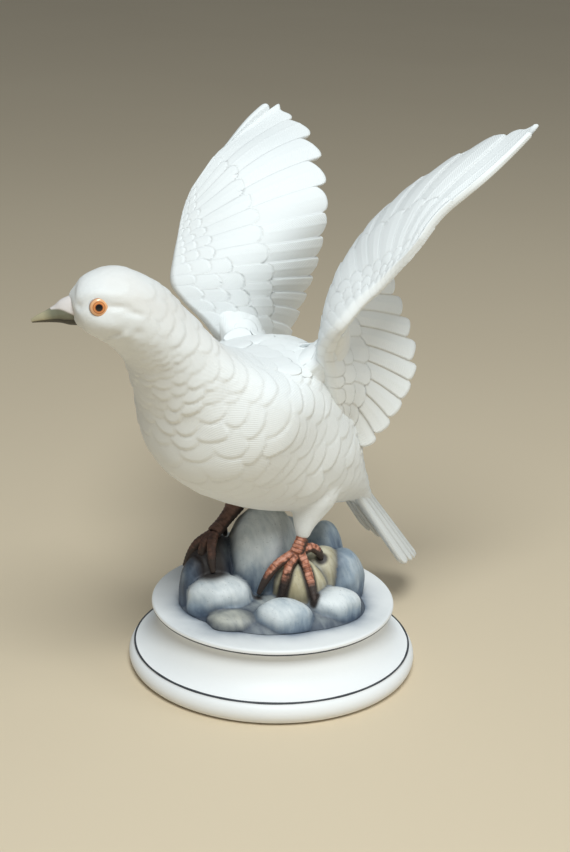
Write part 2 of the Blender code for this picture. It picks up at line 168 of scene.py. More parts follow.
# the right half droops by this share of the left half's droop
RIGHT_DROOP = 0.2
TAIL_FEATHERS = 12
TAIL_LENGTH = 100
TAIL_ROWS = 130
TAIL_COLUMNS = 150

# arms inside the shoulders, legs and toes: x, y, z and radius in shares of the one named for them
ARM_RADIUS = 10
ARM_FLATNESS = 0.6
ARM = [(12, -6, 106, 1.7), (20, 0, 120, 1.6), (28, 3, 132, 1.3), (35, -1, 142, 0.95), (44, -9, 150, 0.45)]
ARMS = [ARM, [(-x, y, z, share) for x, y, z, share in ARM]]
LEG_RADIUS = 3.2
LEGS = [
    [(17, 10, 66, 4.2), (18, 6, 56, 3.3), (18, 1, 44, 1.7), (18, 0, 37, 0.92), (18, -4, 30, 1.1)],
    [(-18, 0, 66, 4.2), (-18.5, -3, 55, 2.8), (-19, -9, 45, 1.4), (-20, -15, 39, 1.05), (-20, -22, 35, 1.1)],
]
TOE_RADIUS = 2.25
SCALE_PITCH = 2.0
TOES = [
    [(18, -3, 30, 1.1), (17.5, -9, 24, 1.0), (17, -11, 17, 0.9), (16, -12, 9, 0.5)],
    [(17, -4, 30, 1.1), (13, -13, 25, 1.0), (10, -17, 18, 0.9), (7, -19, 10, 0.5)],
    [(19, -3, 30, 1.1), (23, -3, 24, 1.0), (27, -4, 17, 0.9), (32, -6, 9, 0.5)],
    [(18, -2, 30, 1.1), (20, 4, 31, 1.0), (21.5, 8, 28, 0.9), (22, 10, 24, 0.5)],
    [(-20, -23, 35, 1.1), (-21, -28, 30, 1.0), (-21.5, -29, 24, 0.9), (-22, -30, 17, 0.5)],
    [(-20, -23, 35, 1.1), (-25, -28, 30, 1.0), (-28, -30, 24, 0.9), (-31, -31, 17, 0.5)],
    [(-19, -23, 35, 1.1), (-16, -28, 31, 1.0), (-14, -30, 25, 0.9), (-12, -31, 19, 0.5)],
    [(-20, -22, 35, 1.1), (-23, -15, 34, 1.0), (-25, -10, 32, 0.9), (-27, -6, 27, 0.5)],
]

# rocks: middle, half sizes, turn in degrees, then paint: 0 blue grey, 1 ochre; and how light its top is
ROCKS = [
    ((-6, -1, 21), (17, 19, 27), 20, 0.05, 0.75),
    ((-22, -20, 12), (13, 15, 20), 10, 0.35, 0.15),
    ((-7, -31, 8), (16, 11, 11), 40, 0.0, 0.95),
    ((-22, -33, 8), (7.5, 8, 17), 30, 0.1, 0.0),
    ((8, -37, 2), (13, 8, 5), 40, 0.45, 0.5),
    ((26, -22, 5), (14, 9, 9.0), 40, 0.0, 0.78),
    ((16, -1, 10), (15, 10.5, 16), 10, 0.95, 0.75),
    ((18, 16, 11), (12, 12, 16), 0, 0.95, 0.85),
    ((36, 4, 6), (13, 10, 8.0), 60, 0.0, 0.85),
    ((24, 24, 9), (11, 13, 16), 20, 0.0, 0.55),
    ((8, 29, 8), (11, 11, 26), 0, 0.0, 0.42),
    ((-14, 24, 9), (17, 15, 22), 70, 0.0, 0.70),
    ((-35, 1, 6), (13, 15, 17), 0, 0.2, 0.60),
]

# the mound that the rocks rise from: radius and height, and its profile in shares of both
ROCK_GRAIN = 0.0008
APRON = (44.4, 7.5)
APRON_PROFILE = ((1.0, 0.0), (0.94, 0.4), (0.8, 0.75), (0.5, 1.0))
APRON_SIDES = 96

EYE_PLACES = [(2.5, -119.5, 173.4), (-15.5, -99.5, 173.4)]
EYE_RADIUS = 4.15
EYE_RINGS = 14
EYE_SIDES = 40
EYE_BULGE = 1.9
EYE_SINK = 0.35
# the beak from its root to its tip: x, y, z, radius
BEAK = [
    (-12, -115.5, 169, 9),
    (-17, -119.5, 167.4, 7.3),
    (-20, -121.8, 166.2, 5.0),
    (-23, -124, 165, 3.5),
    (-26, -126.3, 163.8, 2.3),
    (-29, -128.5, 162.4, 1.0),
]
BEAK_WIDTH = 0.65
BEAK_SIDES = 96
BEAK_RINGS = 140

# the camera, fitted to the photograph's ellipses: degrees round from the front, down and of roll;
# its distance in metres, and the pixel where the middle of the base's underside falls
CAMERA_ANGLES = (40, 19.61, 1.57)
FOCAL_PIXELS = 1774.0
CAMERA_DISTANCE = 0.8934
IMAGE_SIZE = (570, 852)
BASE_PIXEL = (271.2, 657.8)

# floor and lights: place, target, size, power and colour of each light
FLOOR_TONES = ((0.68, 0.57, 0.42, 1), (0.72, 0.61, 0.45, 1))
FLOOR_REACH = 6.0
SKY_COLOUR = (0.90, 0.97, 1.0, 1)
SKY_STRENGTH = 0.22
LIGHTS = {
    "key_light": ((0.64, -0.66, 1.46), (0, 0, 0.13), 0.7, 22.0, (0.95, 1.0, 1.0)),
    "fill_light": ((1.1, 0.55, 0.9), (0, 0, 0.10), 0.8, 3.6, (0.95, 1.0, 1.0)),
}


# shared mesh helpers

def curve_at(points, places):
    """Points on a smooth curve through the given ones, at places counted in points from 0."""
    points = np.asarray(points, float)
    last = len(points) - 1
    places = np.clip(np.asarray(places, float), 0, last)
    index = np.clip(places.astype(int), 0, last - 1)
    share = (places - index)[..., None]
    padded = np.vstack([2 * points[0] - points[1], points, 2 * points[-1] - points[-2]])
    before, start, end, after = (padded[index + shift] for shift in range(4))
    return 0.5 * (
        2 * start
        + (end - before) * share
        + (2 * before - 5 * start + 4 * end - after) * share**2
        + (3 * start - before - 3 * end + after) * share**3
    )


def unit(vectors):
    """Vectors of length one."""
    return vectors / np.maximum(np.linalg.norm(vectors, axis=-1, keepdims=True), 1e-9)


def smoothstep(low, high, value):
    """A soft step from 0 at low to 1 at high."""
    share = np.clip((value - low) / (high - low), 0, 1)
    return share * share * (3 - 2 * share)


def run_along(points):
    """The distance run along a line of points."""
    return np.concatenate([[0], np.cumsum(np.linalg.norm(np.diff(points, axis=0), axis=1))])


def line_frames(points):
    """The direction, side and up vectors along a line of points."""
    directions = unit(np.gradient(points, axis=0))
    side = unit(np.cross(np.array([0, 0, 1.0]), directions))
    return directions, side, np.cross(directions, side)


def round_turn(sides):
    """Angles at even steps round a circle."""
    return np.linspace(0, 2 * math.pi, sides, endpoint=False)


def rounded_end(offset, power=2.4):
    """How far a feather's rounded end falls back, from 0 in its middle to 1 at its edges."""
    return 1 - np.sqrt(np.clip(1 - np.abs(offset) ** power, 0, 1))


def to_metres(steps):
    """Places in the frame, from places in steps."""
    return np.asarray(steps, float) * STEP + np.array([0, 0, SEAT])


def to_steps(metres):
    """Places in steps, from places in the frame."""
    return (np.asarray(metres, float) - np.array([0, 0, SEAT])) / STEP


def mesh_points(mesh, key="co"):
    """The places or normals of a mesh's points as an array."""
    values = np.zeros(len(mesh.vertices) * 3)
    mesh.vertices.foreach_get(key, values)
    return values.reshape(-1, 3)


def add_marks(mesh, marks):
    """Writes named values, one for each point of a mesh."""
    for key, values in marks.items():
        layer = mesh.attributes.new(key, "FLOAT", "POINT")
        layer.data.foreach_set("value", np.asarray(values, np.float32).ravel())


def add_uv(mesh, places):
    """Writes a place on the feather for each corner of a mesh's faces."""
    layer = mesh.uv_layers.new(name="feather")
    layer.data.foreach_set("uv", np.asarray(places, np.float32).ravel())


def add_object(name, data):
    """Puts a new object at the origin."""
    holder = bpy.data.objects.new(name, data)
    bpy.context.scene.collection.objects.link(holder)
    return holder


def plain_mesh(holder):
    """An object's mesh with its modifiers worked in; the object itself goes."""
    graph = bpy.context.evaluated_depsgraph_get()
    mesh = bpy.data.meshes.new_from_object(holder.evaluated_get(graph))
    bpy.data.objects.remove(holder, do_unlink=True)
    return mesh


def new_piece(name, points, faces, material, marks=None, uv=None):
    """Makes a smooth-shaded mesh from points in steps and a list of faces."""
    mesh = bpy.data.meshes.new(name)
    sizes = np.array([len(face) for face in faces])
    corners = np.concatenate([np.asarray(face, int) for face in faces])
    mesh.vertices.add(len(points))
    mesh.vertices.foreach_set("co", to_metres(points).astype(np.float32).ravel())
    mesh.loops.add(len(corners))
    mesh.loops.foreach_set("vertex_index", corners.astype(np.int32))
    mesh.polygons.add(len(sizes))
    starts = np.concatenate([[0], np.cumsum(sizes)[:-1]])
    mesh.polygons.foreach_set("loop_start", starts.astype(np.int32))
    mesh.polygons.foreach_set("use_smooth", np.ones(len(sizes), bool))
    add_marks(mesh, marks or {})
    if uv is not None:
        add_uv(mesh, uv[corners])
    mesh.update(calc_edges=True)
    mesh.validate()
    mesh.materials.append(material)
    return add_object(name, mesh)


def ring_quads(rings, sides):
    """Faces of four corners between rings of points."""
    ring, side = np.meshgrid(np.arange(rings - 1), np.arange(sides), indexing="ij")
    low = ring * sides
    beside = (side + 1) % sides
    quads = np.stack([low + side, low + beside, low + sides + beside, low + sides + side], -1)
    return [tuple(quad) for quad in quads.reshape(-1, 4)]


def loft_faces(rings, sides, flip=False):
    """Faces of a loft of rings, closed at both ends with a fan round one added middle point each."""
    faces = ring_quads(rings, sides)
    start = rings * sides
    last = start - sides
    for number in range(sides):
        following = (number + 1) % sides
        faces.append((following, number, start))
        faces.append((last + number, last + following, start + 1))
    return [face[::-1] for face in faces] if flip else faces


def sheet_faces(rows, columns, flip=False):
    """Faces of a closed sheet: an upper grid, a lower grid and the rim that joins them."""
    row, column = np.meshgrid(np.arange(rows - 1), np.arange(columns - 1), indexing="ij")
    corner = row * columns + column
    upper = np.stack([corner, corner + 1, corner + columns + 1, corner + columns], -1).reshape(-1, 4)
    under = rows * columns
    lower = upper[:, ::-1] + under
    outline = list(range(columns))
    outline += [number * columns + columns - 1 for number in range(1, rows)]
    outline += [(rows - 1) * columns + number for number in range(columns - 2, -1, -1)]
    outline += [number * columns for number in range(rows - 2, 0, -1)]
    here = np.array(outline)
    there = np.roll(here, -1)
    rim = np.stack([here, here + under, there + under, there], -1)
    faces = np.vstack([upper, lower, rim])
    if flip:
        faces = faces[:, ::-1]
    return [tuple(face) for face in faces]


def tube_grid(path, radius, sides, rings, swell=None, flatness=1.0):
    """Rings of points round a path whose fourth value is its radius in shares of radius."""
    smooth = curve_at(path, np.linspace(0, len(path) - 1, rings))
    middles = smooth[:, :3]
    directions = unit(np.gradient(middles, axis=0))
    across = unit(np.cross(directions, np.array([1.0, 0.2, 0.1])))
    other = np.cross(directions, across)
    angle = round_turn(sides)[:, None]
    lengths = run_along(middles)
    reach = smooth[:, 3] * radius * (1 + (swell(lengths) if swell else 0))
    offset = across[:, None] * np.cos(angle) + other[:, None] * np.sin(angle) * flatness
    return middles[:, None] + offset * reach[:, None, None], lengths


# feather relief

def body_feathers(along, across, seed, columns, roundness=0.62, spread=0.17):
    """Overlapping rounded feathers round the body, along counted in rows; tips point to low values of it.

    Returns the height in shares of the full lift and how much painted shade each place gets below the
    feathers' tips and along their sides.
    """
    chance = np.random.default_rng(seed)
    count = int(along.max()) + 4
    shifts = chance.uniform(-spread, spread, (count, columns))
    lifts = chance.uniform(0.6, 1.2, (count, columns))
    sway = chance.uniform(-0.35, 0.35, count)
    base = np.floor(along).astype(int)
    height = np.zeros(along.shape)
    groove_shade = np.zeros(along.shape)
    open_place = np.ones(along.shape, bool)
    for step in (1, 0, -1, -2):
        number = np.clip(base + step, 0, count - 1)
        place = across * columns + 0.5 * (number % 2) + sway[number]
        column = np.floor(place).astype(int)
        offset = 2 * (place - column) - 1
        column = column % columns
        recess = roundness * rounded_end(offset, 2.3)
        inside = along - (number + shifts[number, column]) - recess
        covers = open_place & (inside > 0)
        bend = smoothstep(0, 0.2, inside) * (1 - 0.7 * np.clip(inside / 1.3, 0, 1)) * (1 - 0.25 * offset**2)
        height = np.where(covers, bend * lifts[number, column], height)
        # painted shade just below each feather's tip and along its sides
        near = np.where(open_place & (inside <= 0), np.exp(np.clip(inside, -5, 0) / 0.055), 0)
        groove_shade = np.maximum(groove_shade, near)
        seam = np.where(covers, 0.5 * np.exp(-(1 - np.abs(offset)) / 0.05), 0)
        groove_shade = np.maximum(groove_shade, seam)
        open_place &= ~covers
    return height, groove_shade


def row_edges(start, end, count, seed, spread=0.12):
    """Uneven borders between the feathers of one row."""
    chance = np.random.default_rng(seed)
    edges = np.linspace(start, end, count + 1)
    step = (end - start) / count
    edges[1:-1] += chance.uniform(-spread, spread, count - 1) * step
    return edges


def feather_rows(outward, along, length, rows, inner_on_top):
    """Height in steps and painted edge shade of overlapping rows on a wing or tail; the first row lies on
    top.
    """
    height = np.zeros(along.shape)
    groove_shade = np.zeros(along.shape)
    local = np.zeros(along.shape)
    open_place = np.ones(along.shape, bool)
    distance_out = along * length
    for row in rows:
        edges = row["edges"]
        place = np.interp(outward, edges, np.arange(len(edges)))
        column = np.clip(place.astype(int), 0, len(edges) - 2)
        share = place - column
        middle = 0.5 * (edges[column] + edges[column + 1])
        width = (edges[column + 1] - edges[column]) * row["width"]
        end = np.interp(middle, row["at"], row["ends"]) * length
        end = end + row["spread"] * np.sin(column * 2.4 + row["seed"])
        end = end - row["round"] * width * rounded_end(2 * share - 1)
        inside = end - distance_out
        covers = open_place & (inside > 0)
        lean = share if inner_on_top else 1 - share
        bend = row["lift"] * smoothstep(0, 0.9, inside) * (1 - 0.6 * np.clip(inside / row["reach"], 0, 1))
        bend = bend + row["tilt"] * lean * smoothstep(0, 0.5, inside)
        bend = bend + row["camber"] * (1 - (2 * share - 1) ** 2)
        bend = bend + row["shaft"] * np.exp(-(((share - 0.55) * width) / 0.45) ** 2)
        height = np.where(covers, bend, height)
        local = np.where(covers, (share - 0.55) * width, local)
        # painted shade just beyond each feather's tip and along its side edge
        near = np.where(open_place & (inside <= 0), np.exp(np.clip(inside, -9, 0) / 0.55), 0)
        seam = np.where(covers, 0.8 * np.exp(-lean * width / 0.5), 0)
        groove_shade = np.maximum(groove_shade, np.maximum(near, seam))
        open_place &= ~covers
    return height, groove_shade, local


# body

def body_frames():
    """The spine at even distances, its direction, side and up vectors and the distance run in body radii."""
    dense = curve_at(SPINE, np.linspace(0, len(SPINE) - 1, 3000))
    lengths = run_along(dense[:, :3])
    even = np.linspace(0, lengths[-1], BODY_RINGS)
    spine = np.stack([np.interp(even, lengths, dense[:, n]) for n in range(6)], 1)
    run = np.concatenate([[0], np.cumsum(np.diff(even) / spine[1:, 3])])
    return spine, *line_frames(spine[:, :3]), run


def melt(pieces, name, grain, rounds, material):
    """Joins closed pieces into one skin of even grain and softens the creases between them."""
    bpy.ops.object.select_all(action="DESELECT")
    for piece in pieces:
        piece.select_set(True)
    bpy.context.view_layer.objects.active = pieces[0]
    bpy.ops.object.join()
    joined = bpy.context.object
    remesh = joined.modifiers.new("melt", "REMESH")
    remesh.mode = "VOXEL"
    remesh.voxel_size = grain
    soften = joined.modifiers.new("soften", "SMOOTH")
    soften.iterations = rounds
    soften.factor = 0.5
    mesh = plain_mesh(joined)
    mesh.name = name
    mesh.polygons.foreach_set("use_smooth", np.ones(len(mesh.polygons), bool))
    mesh.materials.clear()
    mesh.materials.append(material)
    return add_object(name, mesh)


def spread_out(mesh, values, rounds):
    """Evens out values on a mesh's points by mixing each with its neighbours'."""
    edges = np.zeros(len(mesh.edges) * 2, np.int32)
    mesh.edges.foreach_get("vertices", edges)
    first, second = edges.reshape(-1, 2).T
    count = np.bincount(edges, minlength=len(values))
    for _ in range(rounds):
        total = np.bincount(first, values[second], len(values))
        total = total + np.bincount(second, values[first], len(values))
        values = 0.5 * values + 0.5 * total / np.maximum(count, 1)
    return values


def row_places(share, length, depths):
    """Counts the feather rows up to shares of the spine."""
    places = np.linspace(0, 1.1, 600)
    rows = np.cumsum(length * (places[1] - places[0]) / np.interp(places, ROW_PLACES, depths))
    return np.interp(share, places, rows)


def face_forms(share, angle):
    """The height of the brow, cheek, eye hollow and creases at places on the head."""
    turn = np.degrees(np.arctan2(np.sin(angle), np.abs(np.cos(angle))))
    height = np.zeros(len(share))
    for middle, at, length, spread, lift in FACE_FORMS:
        height += lift * np.exp(-((share - middle) / length) ** 2 - ((turn - at) / spread) ** 2)
    return height


def spine_places(points, frames):
    """Where points lie along and round the spine: row of the spine, run in body radii and angle."""
    spine, directions, side, up, run = frames
    tree = KDTree(len(spine))
    for number, row in enumerate(spine):
        tree.insert(row[:3], number)
    tree.balance()
    nearest = np.array([tree.find(point)[1] for point in points])
    offset = points - spine[nearest, :3]
    ahead, over, beside = (np.sum(offset * way[nearest], 1) for way in (directions, up, side))
    return nearest, run[nearest] + ahead / spine[nearest, 3], np.arctan2(over, beside)


def body_skin(frames, material):
    """The body, neck, head, shoulders and thighs in one smooth skin."""
    spine, _, side, up, _ = frames
    angle = round_turn(BODY_SIDES)
    cosine, sine = np.cos(angle), np.sin(angle)
    half_height = np.where(sine > 0, spine[:, 4:5], spine[:, 5:6])
    outward = side[:, None] * (spine[:, 3:4] * cosine)[..., None]
    outward = outward + up[:, None] * (half_height * sine)[..., None]
    rings = (spine[:, None, :3] + outward)[::3]
    points = np.vstack([rings.reshape(-1, 3), rings[0].mean(0), rings[-1].mean(0)])
    core = new_piece("core", points, loft_faces(len(rings), BODY_SIDES, flip=True), material)
    limbs = tubes_piece("limbs", ARMS, ARM_RADIUS, 40, 40, material, flatness=ARM_FLATNESS)
    thighs = tubes_piece("thighs", [LEGS[0][:4], LEGS[1][:3]], LEG_RADIUS, 32, 40, material)
    return melt([core, limbs, thighs], "dove_body", SKIN_GRAIN, SKIN_ROUNDS, material)


def limb_share(skin, rows, angle):
    """How far points stand off the spine's own form, from 0 on it to 1 on a shoulder or thigh."""
    sine = np.sin(angle)
    half_height = np.where(sine > 0, rows[:, 4], rows[:, 5])
    reach = 1 / np.sqrt((np.cos(angle) / rows[:, 3]) ** 2 + (sine / half_height) ** 2)
    return smoothstep(2.5, 9.0, np.linalg.norm(skin - rows[:, :3], axis=1) - reach)


def plumage(skin, across, share, length, sine, limb):
    """The body's feathers: height in steps, how much painted shade lies at their edges and how far they are
    tinted.
    """
    warp = np.array([noise.noise(Vector(point) * 0.055) for point in skin])
    drift = np.array([noise.noise(Vector(point) * 0.07 + Vector((40, 0, 0))) for point in skin])
    turned = (across + 0.02 * drift) % 1.0
    front_rows, nape_rows = (np.maximum(row_places(share, length, depths) + ROW_WAVER * warp, 0)
                             for depths in (FRONT_DEPTHS, NAPE_DEPTHS))
    height, groove_shade = body_feathers(front_rows, turned, 7, FEATHERS_ROUND)
    broad, broad_groove_shade = body_feathers(nape_rows, turned, 9, NAPE_FEATHERS_ROUND)
    at_nape = smoothstep(-0.45, 0.0, sine + 0.2 * warp) * smoothstep(0.55, 0.66, share)
    height = height * (1 - at_nape) + 1.1 * broad * at_nape
    groove_shade = groove_shade * (1 - at_nape) + broad_groove_shade * at_nape
    belly = smoothstep(0.55, 0.95, -sine) * (1 - smoothstep(0.45, 0.62, share))
    lift = np.interp(share, LIFT_PLACES, LIFTS) * (1 - 0.75 * belly) * (1 - 0.5 * limb)
    shade = groove_shade * np.clip(lift, 0, 1) * (0.55 + 0.9 * np.clip(drift, -0.4, 0.6))
    nape = smoothstep(0.56, 0.70, share) * smoothstep(-0.35, 0.45, sine)
    nape = nape * (1 - 0.5 * smoothstep(0.84, 0.95, share)) * (1 - limb)
    return height * lift * (0.85 + 0.5 * drift), shade, nape


def barb_places(mesh, across, along):
    """The barbs' UV places at the corners of a mesh's faces, unbroken over the seam of the turn."""
    corners = np.zeros(len(mesh.loops), np.int32)
    mesh.loops.foreach_get("vertex_index", corners)
    turn = across[corners].reshape(-1, 4)
    turn = np.where(turn.max(1, keepdims=True) - turn > 0.5, turn + 1, turn)
    return np.stack([turn.ravel() * BARB_SCALE[0], along[corners] * BARB_SCALE[1]], 1)


def dove_body(material):
    """The body's skin with rows of rounded feathers and the forms of the face."""
    frames = body_frames()
    piece = body_skin(frames, material)
    mesh = piece.data
    skin = to_steps(mesh_points(mesh))
    normals = mesh_points(mesh, "normal")
    nearest, along, angle = spine_places(skin, frames)
    across = (angle / (2 * math.pi)) % 1.0
    length = frames[-1][-1]
    share = along / length
    limb = limb_share(skin, frames[0][nearest], angle)
    relief, shade, nape = plumage(skin, across, share, length, np.sin(angle), limb)
    relief = spread_out(mesh, relief, 2) + face_forms(share, angle)
    mesh.vertices.foreach_set("co", to_metres(skin + normals * relief[:, None]).ravel())
    add_marks(mesh, {"groove_shade": shade, "tint": nape})
    add_uv(mesh, barb_places(mesh, across, along))
    mesh.update()
    return piece


# wings

def wing_surface(outward, along, side):
    """A place on the left wing's middle surface, outward in feather lines, along from front edge to tip."""
    front, middle, tip = (curve_at([line[n] for line in WING_LINES], outward) for n in range(3))
    raised = np.interp(outward, (9, 12, 13, WING_ENDS), (0, 1, 1, 0.5)) * TIP_LIFTS[side]
    middle[..., 2] += 0.4 * raised
    tip[..., 2] += raised
    along = along[..., None]
    return (front * (1 - along) * (1 - 2 * along) + middle * 4 * along * (1 - along)
            + tip * along * (2 * along - 1))


def feather_path(outward, down):
    """Turns a place along a feather into a place on the wing: the outer feathers first run along the hand."""
    outer = np.clip((outward - WRIST_LINE) / (WING_ENDS - WRIST_LINE), 0, 1)
    start = WRIST_LINE + (outward - WRIST_LINE) * HAND_SHARE
    start = np.where(outward > WRIST_LINE, start, outward)
    fanned = 1 - (1 - np.clip(down, 0, 1)) ** 2.6
    late = np.where(down > 0.12, ((down - 0.12) / 0.88) ** 1.35, 0)
    late = np.where(down > 1, 1 + (down - 1) * 1.4, late)
    return start + (outward - start) * fanned, down * (1 - outer) + late * outer


def feather_place(outward, down, side):
    """A place on the wing's middle surface, outward in feather lines and down along a feather."""
    return wing_surface(*feather_path(outward, down), side)


def sheet_piece(name, grids, groove_shades, across, down, material, flip):
    """A closed sheet from its upper and lower grid of points; each feather's own places are its UV."""
    points = np.stack(grids).reshape(-1, 3)
    marks = {"groove_shade": np.stack(groove_shades), "tint": np.zeros(len(points))}
    uv = np.stack([np.stack(across).ravel(), np.tile(down.ravel(), 2)], 1)
    rows, columns, _ = grids[0].shape
    return new_piece(name, points, sheet_faces(rows, columns, flip), material, marks, uv)


def fan_columns(edges, total):
    """Column places across a fan: even steps in each feather, with two close columns where feathers meet."""
    edges = np.asarray(edges, float)
    outward, shares, feather = [], [], []
    for number, (start, end) in enumerate(zip(edges[:-1], edges[1:])):
        count = max(6, int(round(total * (end - start) / (edges[-1] - edges[0]))))
        share = np.linspace(0, 1, count)
        outward.extend(start + (end - start) * np.clip(share, 0.01, 0.99))
        shares.extend(share)
        feather.extend([number] * count)
    outward = np.array(outward)
    outward[0], outward[-1] = edges[0], edges[-1]
    return outward, np.array(shares), np.array(feather)


def feather_cuts(outward, share, feather, side):
    """Each column's length and by what factor its feather's rounded tip shortens it."""
    edges = np.array(FLIGHT_EDGES, float)
    ones = np.ones_like(outward)
    tip_step = (feather_place(outward + 0.05, ones, side) - feather_place(outward - 0.05, ones, side)) / 0.1
    aim = unit(feather_place(outward, ones, side) - feather_place(outward, ones * 0.95, side))
    lean = np.sum(tip_step * aim, axis=1)
    span = edges[feather + 1] - edges[feather]
    width = span * np.linalg.norm(tip_step - aim * lean[:, None], axis=1)
    samples = [feather_place(outward, ones * place, side) for place in np.linspace(0, 1, 16)]
    length = np.sum(np.linalg.norm(np.diff(samples, axis=0), axis=2), axis=0)
    cut = -(share - 0.5) * span * lean * 0.8
    cut = cut - np.interp(outward, (0, 6, WING_ENDS), (0.15, 0.2, 0.3)) * width * rounded_end(2 * share - 1)
    for number in range(len(edges) - 1):
        cut[feather == number] -= cut[feather == number].max()
    return length, 1 + cut / length


def wing_thickness(across, along, distance, left):
    """Half the wing's thickness, and how strongly the feathers are carved; left is the way to the tip."""
    inner = 1 - across / WING_ENDS
    half = WING_HALF_THICKNESS + 2.1 * (1 - along) * (0.5 + inner)
    half = half + ROOT_SWELL * np.exp(-((across - 2.8) / 2.4) ** 2 - ((along - 0.25) / 0.2) ** 2)
    round_front = np.sqrt(np.clip(1 - (1 - np.clip(distance / 3.5, 0, 1)) ** 2, 0.02, 1))
    round_end = np.clip(0.35 + left / 2.0, 0, 1)
    outer_edge = np.clip(0.2 + (WING_ENDS - across) / 0.16, 0, 1)
    fade = smoothstep(0.0, 2.5, distance) * np.clip(0.3 + left / 1.5, 0, 1) * outer_edge
    return half * round_front * round_end * outer_edge, fade


def wing_piece(side, material):
    """One wing: coverts in rows over a fan of flight feathers, carved on both faces."""
    outward, share, feather = fan_columns(FLIGHT_EDGES, WING_COLUMNS)
    length, scale = feather_cuts(outward, share, feather, side)
    rows = np.linspace(0, 1, WING_ROWS)[:, None]
    along = rows * scale
    across = np.ones((WING_ROWS, 1)) * outward
    line, depth = feather_path(across, along)
    line = np.clip(line, 0.1, WING_ENDS - 0.15)
    depth = np.clip(depth, 0.02, 1.2)
    out_step = wing_surface(line + 0.1, depth, side) - wing_surface(line - 0.1, depth, side)
    down_step = wing_surface(line, depth + 0.01, side) - wing_surface(line, depth - 0.01, side)
    normals = unit(np.cross(out_step, down_step))
    upper_rows, lower_rows = wing_feather_rows()
    top, top_groove_shade, top_local = feather_rows(across, along, length, upper_rows, True)
    low, low_groove_shade, low_local = feather_rows(across, along, length, lower_rows, False)
    half, fade = wing_thickness(across, along, along * length, (1 - rows) * length)
    base = feather_place(across, along, side)
    mirror = np.array([side, 1, 1])
    grids = [(base + normals * (half + top * fade)[..., None]) * mirror,
             (base - normals * (half + low * fade)[..., None]) * mirror]
    return sheet_piece("left_wing" if side > 0 else "right_wing", grids, (top_groove_shade, low_groove_shade),
                       (top_local, low_local), along * length, material, side < 0)


def covert_row(ends, at, count, seed, lift, reach, tilt=0.35, shaft=0.0, spread=0.6):
    """One row of coverts across a wing."""
    return {"edges": row_edges(0, WING_ENDS, count, seed), "at": at, "ends": ends, "width": 15.0,
            "round": 0.42, "spread": spread, "seed": seed, "lift": lift, "reach": reach, "tilt": tilt,
            "camber": 0.25, "shaft": shaft}


def wing_feather_rows():
    """The rows of the wing's upper and under side, from the front edge to the flight feathers."""
    flight = {"edges": np.array(FLIGHT_EDGES, float), "at": (0, WING_ENDS), "ends": (2, 2), "width": 15.0,
              "round": 0.0, "spread": 0.0, "seed": 0, "lift": 0.2, "reach": 60.0, "tilt": 0.95,
              "camber": 0.35, "shaft": 0.22}
    at = (0, 6, 7.2, 9, 11, WING_ENDS)
    upper = [
        covert_row((0.14, 0.14, 0.10, 0.08, 0.07, 0.06), at, 22, 3, 0.6, 8),
        covert_row((0.27, 0.27, 0.18, 0.15, 0.13, 0.12), at, 20, 5, 0.6, 9),
        covert_row((0.40, 0.40, 0.27, 0.23, 0.20, 0.18), at, 18, 8, 0.7, 10),
        covert_row((0.53, 0.60, 0.56, 0.54, 0.50, 0.36), at, 17, 2, 0.9, 26, 0.5, 0.12, 0.4),
        flight,
    ]
    under = [
        covert_row((0.16, 0.16, 0.12, 0.10, 0.08, 0.06), at, 20, 4, 0.6, 8),
        covert_row((0.34, 0.34, 0.26, 0.20, 0.16, 0.12), at, 18, 9, 0.8, 12),
        covert_row((0.60, 0.60, 0.50, 0.40, 0.32, 0.22), at, 17, 6, 1.0, 20, 0.45, 0.1),
        dict(flight, tilt=0.8),
    ]
    return upper, under


# nodes

def add_node(tree, kind, inputs=(), **settings):
    """A node with its settings and inputs; each input is a value, a socket or None to leave it alone."""
    node = tree.nodes.new(kind)
    for key, value in settings.items():
        setattr(node, key, value)
    for key, value in inputs.items() if isinstance(inputs, dict) else enumerate(inputs):
        if isinstance(value, bpy.types.NodeSocket):
            tree.links.new(value, node.inputs[key])
        elif value is not None:
            node.inputs[key].default_value = value
    return node


def maths(tree, operation, first, second=None):
    """One Math node on values or sockets."""
    return add_node(tree, "ShaderNodeMath", (first, second), operation=operation).outputs[0]


def stored(tree, name, kind):
    """A named value of the points, in a Geometry Nodes tree."""
    node = add_node(tree, "GeometryNodeInputNamedAttribute", {"Name": name}, data_type=kind)
    return node.outputs["Attribute"]


def split(tree, vector):
    """The X, Y and Z of a vector."""
    return add_node(tree, "ShaderNodeSeparateXYZ", (vector,)).outputs


# shoulder feathers

def plate_shape(tree, given):
    """One domed feather from a ball, with its own places as UV."""
    def vector_maths(operation, first, second):
        return add_node(tree, "ShaderNodeVectorMath", (first, second), operation=operation).outputs[0]

    def combine(*values):
        return add_node(tree, "ShaderNodeCombineXYZ", values).outputs[0]

    ball = add_node(tree, "GeometryNodeMeshUVSphere", {"Segments": 14, "Rings": 8, "Radius": 0.5})
    place = add_node(tree, "GeometryNodeInputPosition").outputs[0]
    parts = split(tree, place)
    sizes = combine(given["Width"], given["Length"], given["Thickness"])
    narrowing = maths(tree, "ADD", maths(tree, "MULTIPLY", parts["Y"], 0.5), 0.85)
    bend = maths(tree, "MULTIPLY", maths(tree, "POWER", parts["X"], 2.0), given["Camber"])
    flat = vector_maths("MULTIPLY", vector_maths("MULTIPLY", place, sizes), combine(narrowing, 1.0, 1.0))
    domed = vector_maths("SUBTRACT", flat, combine(0.0, 0.0, bend))
    shape = add_node(tree, "GeometryNodeSetPosition", {"Geometry": ball.outputs["Mesh"], "Position": domed})
    in_steps = vector_maths("MULTIPLY", domed, (1 / STEP, 1 / STEP, 1 / STEP))
    return add_node(tree, "GeometryNodeStoreNamedAttribute",
                    {"Geometry": shape.outputs["Geometry"], "Name": "feather", "Value": in_steps},
                    data_type="FLOAT2", domain="CORNER").outputs["Geometry"]


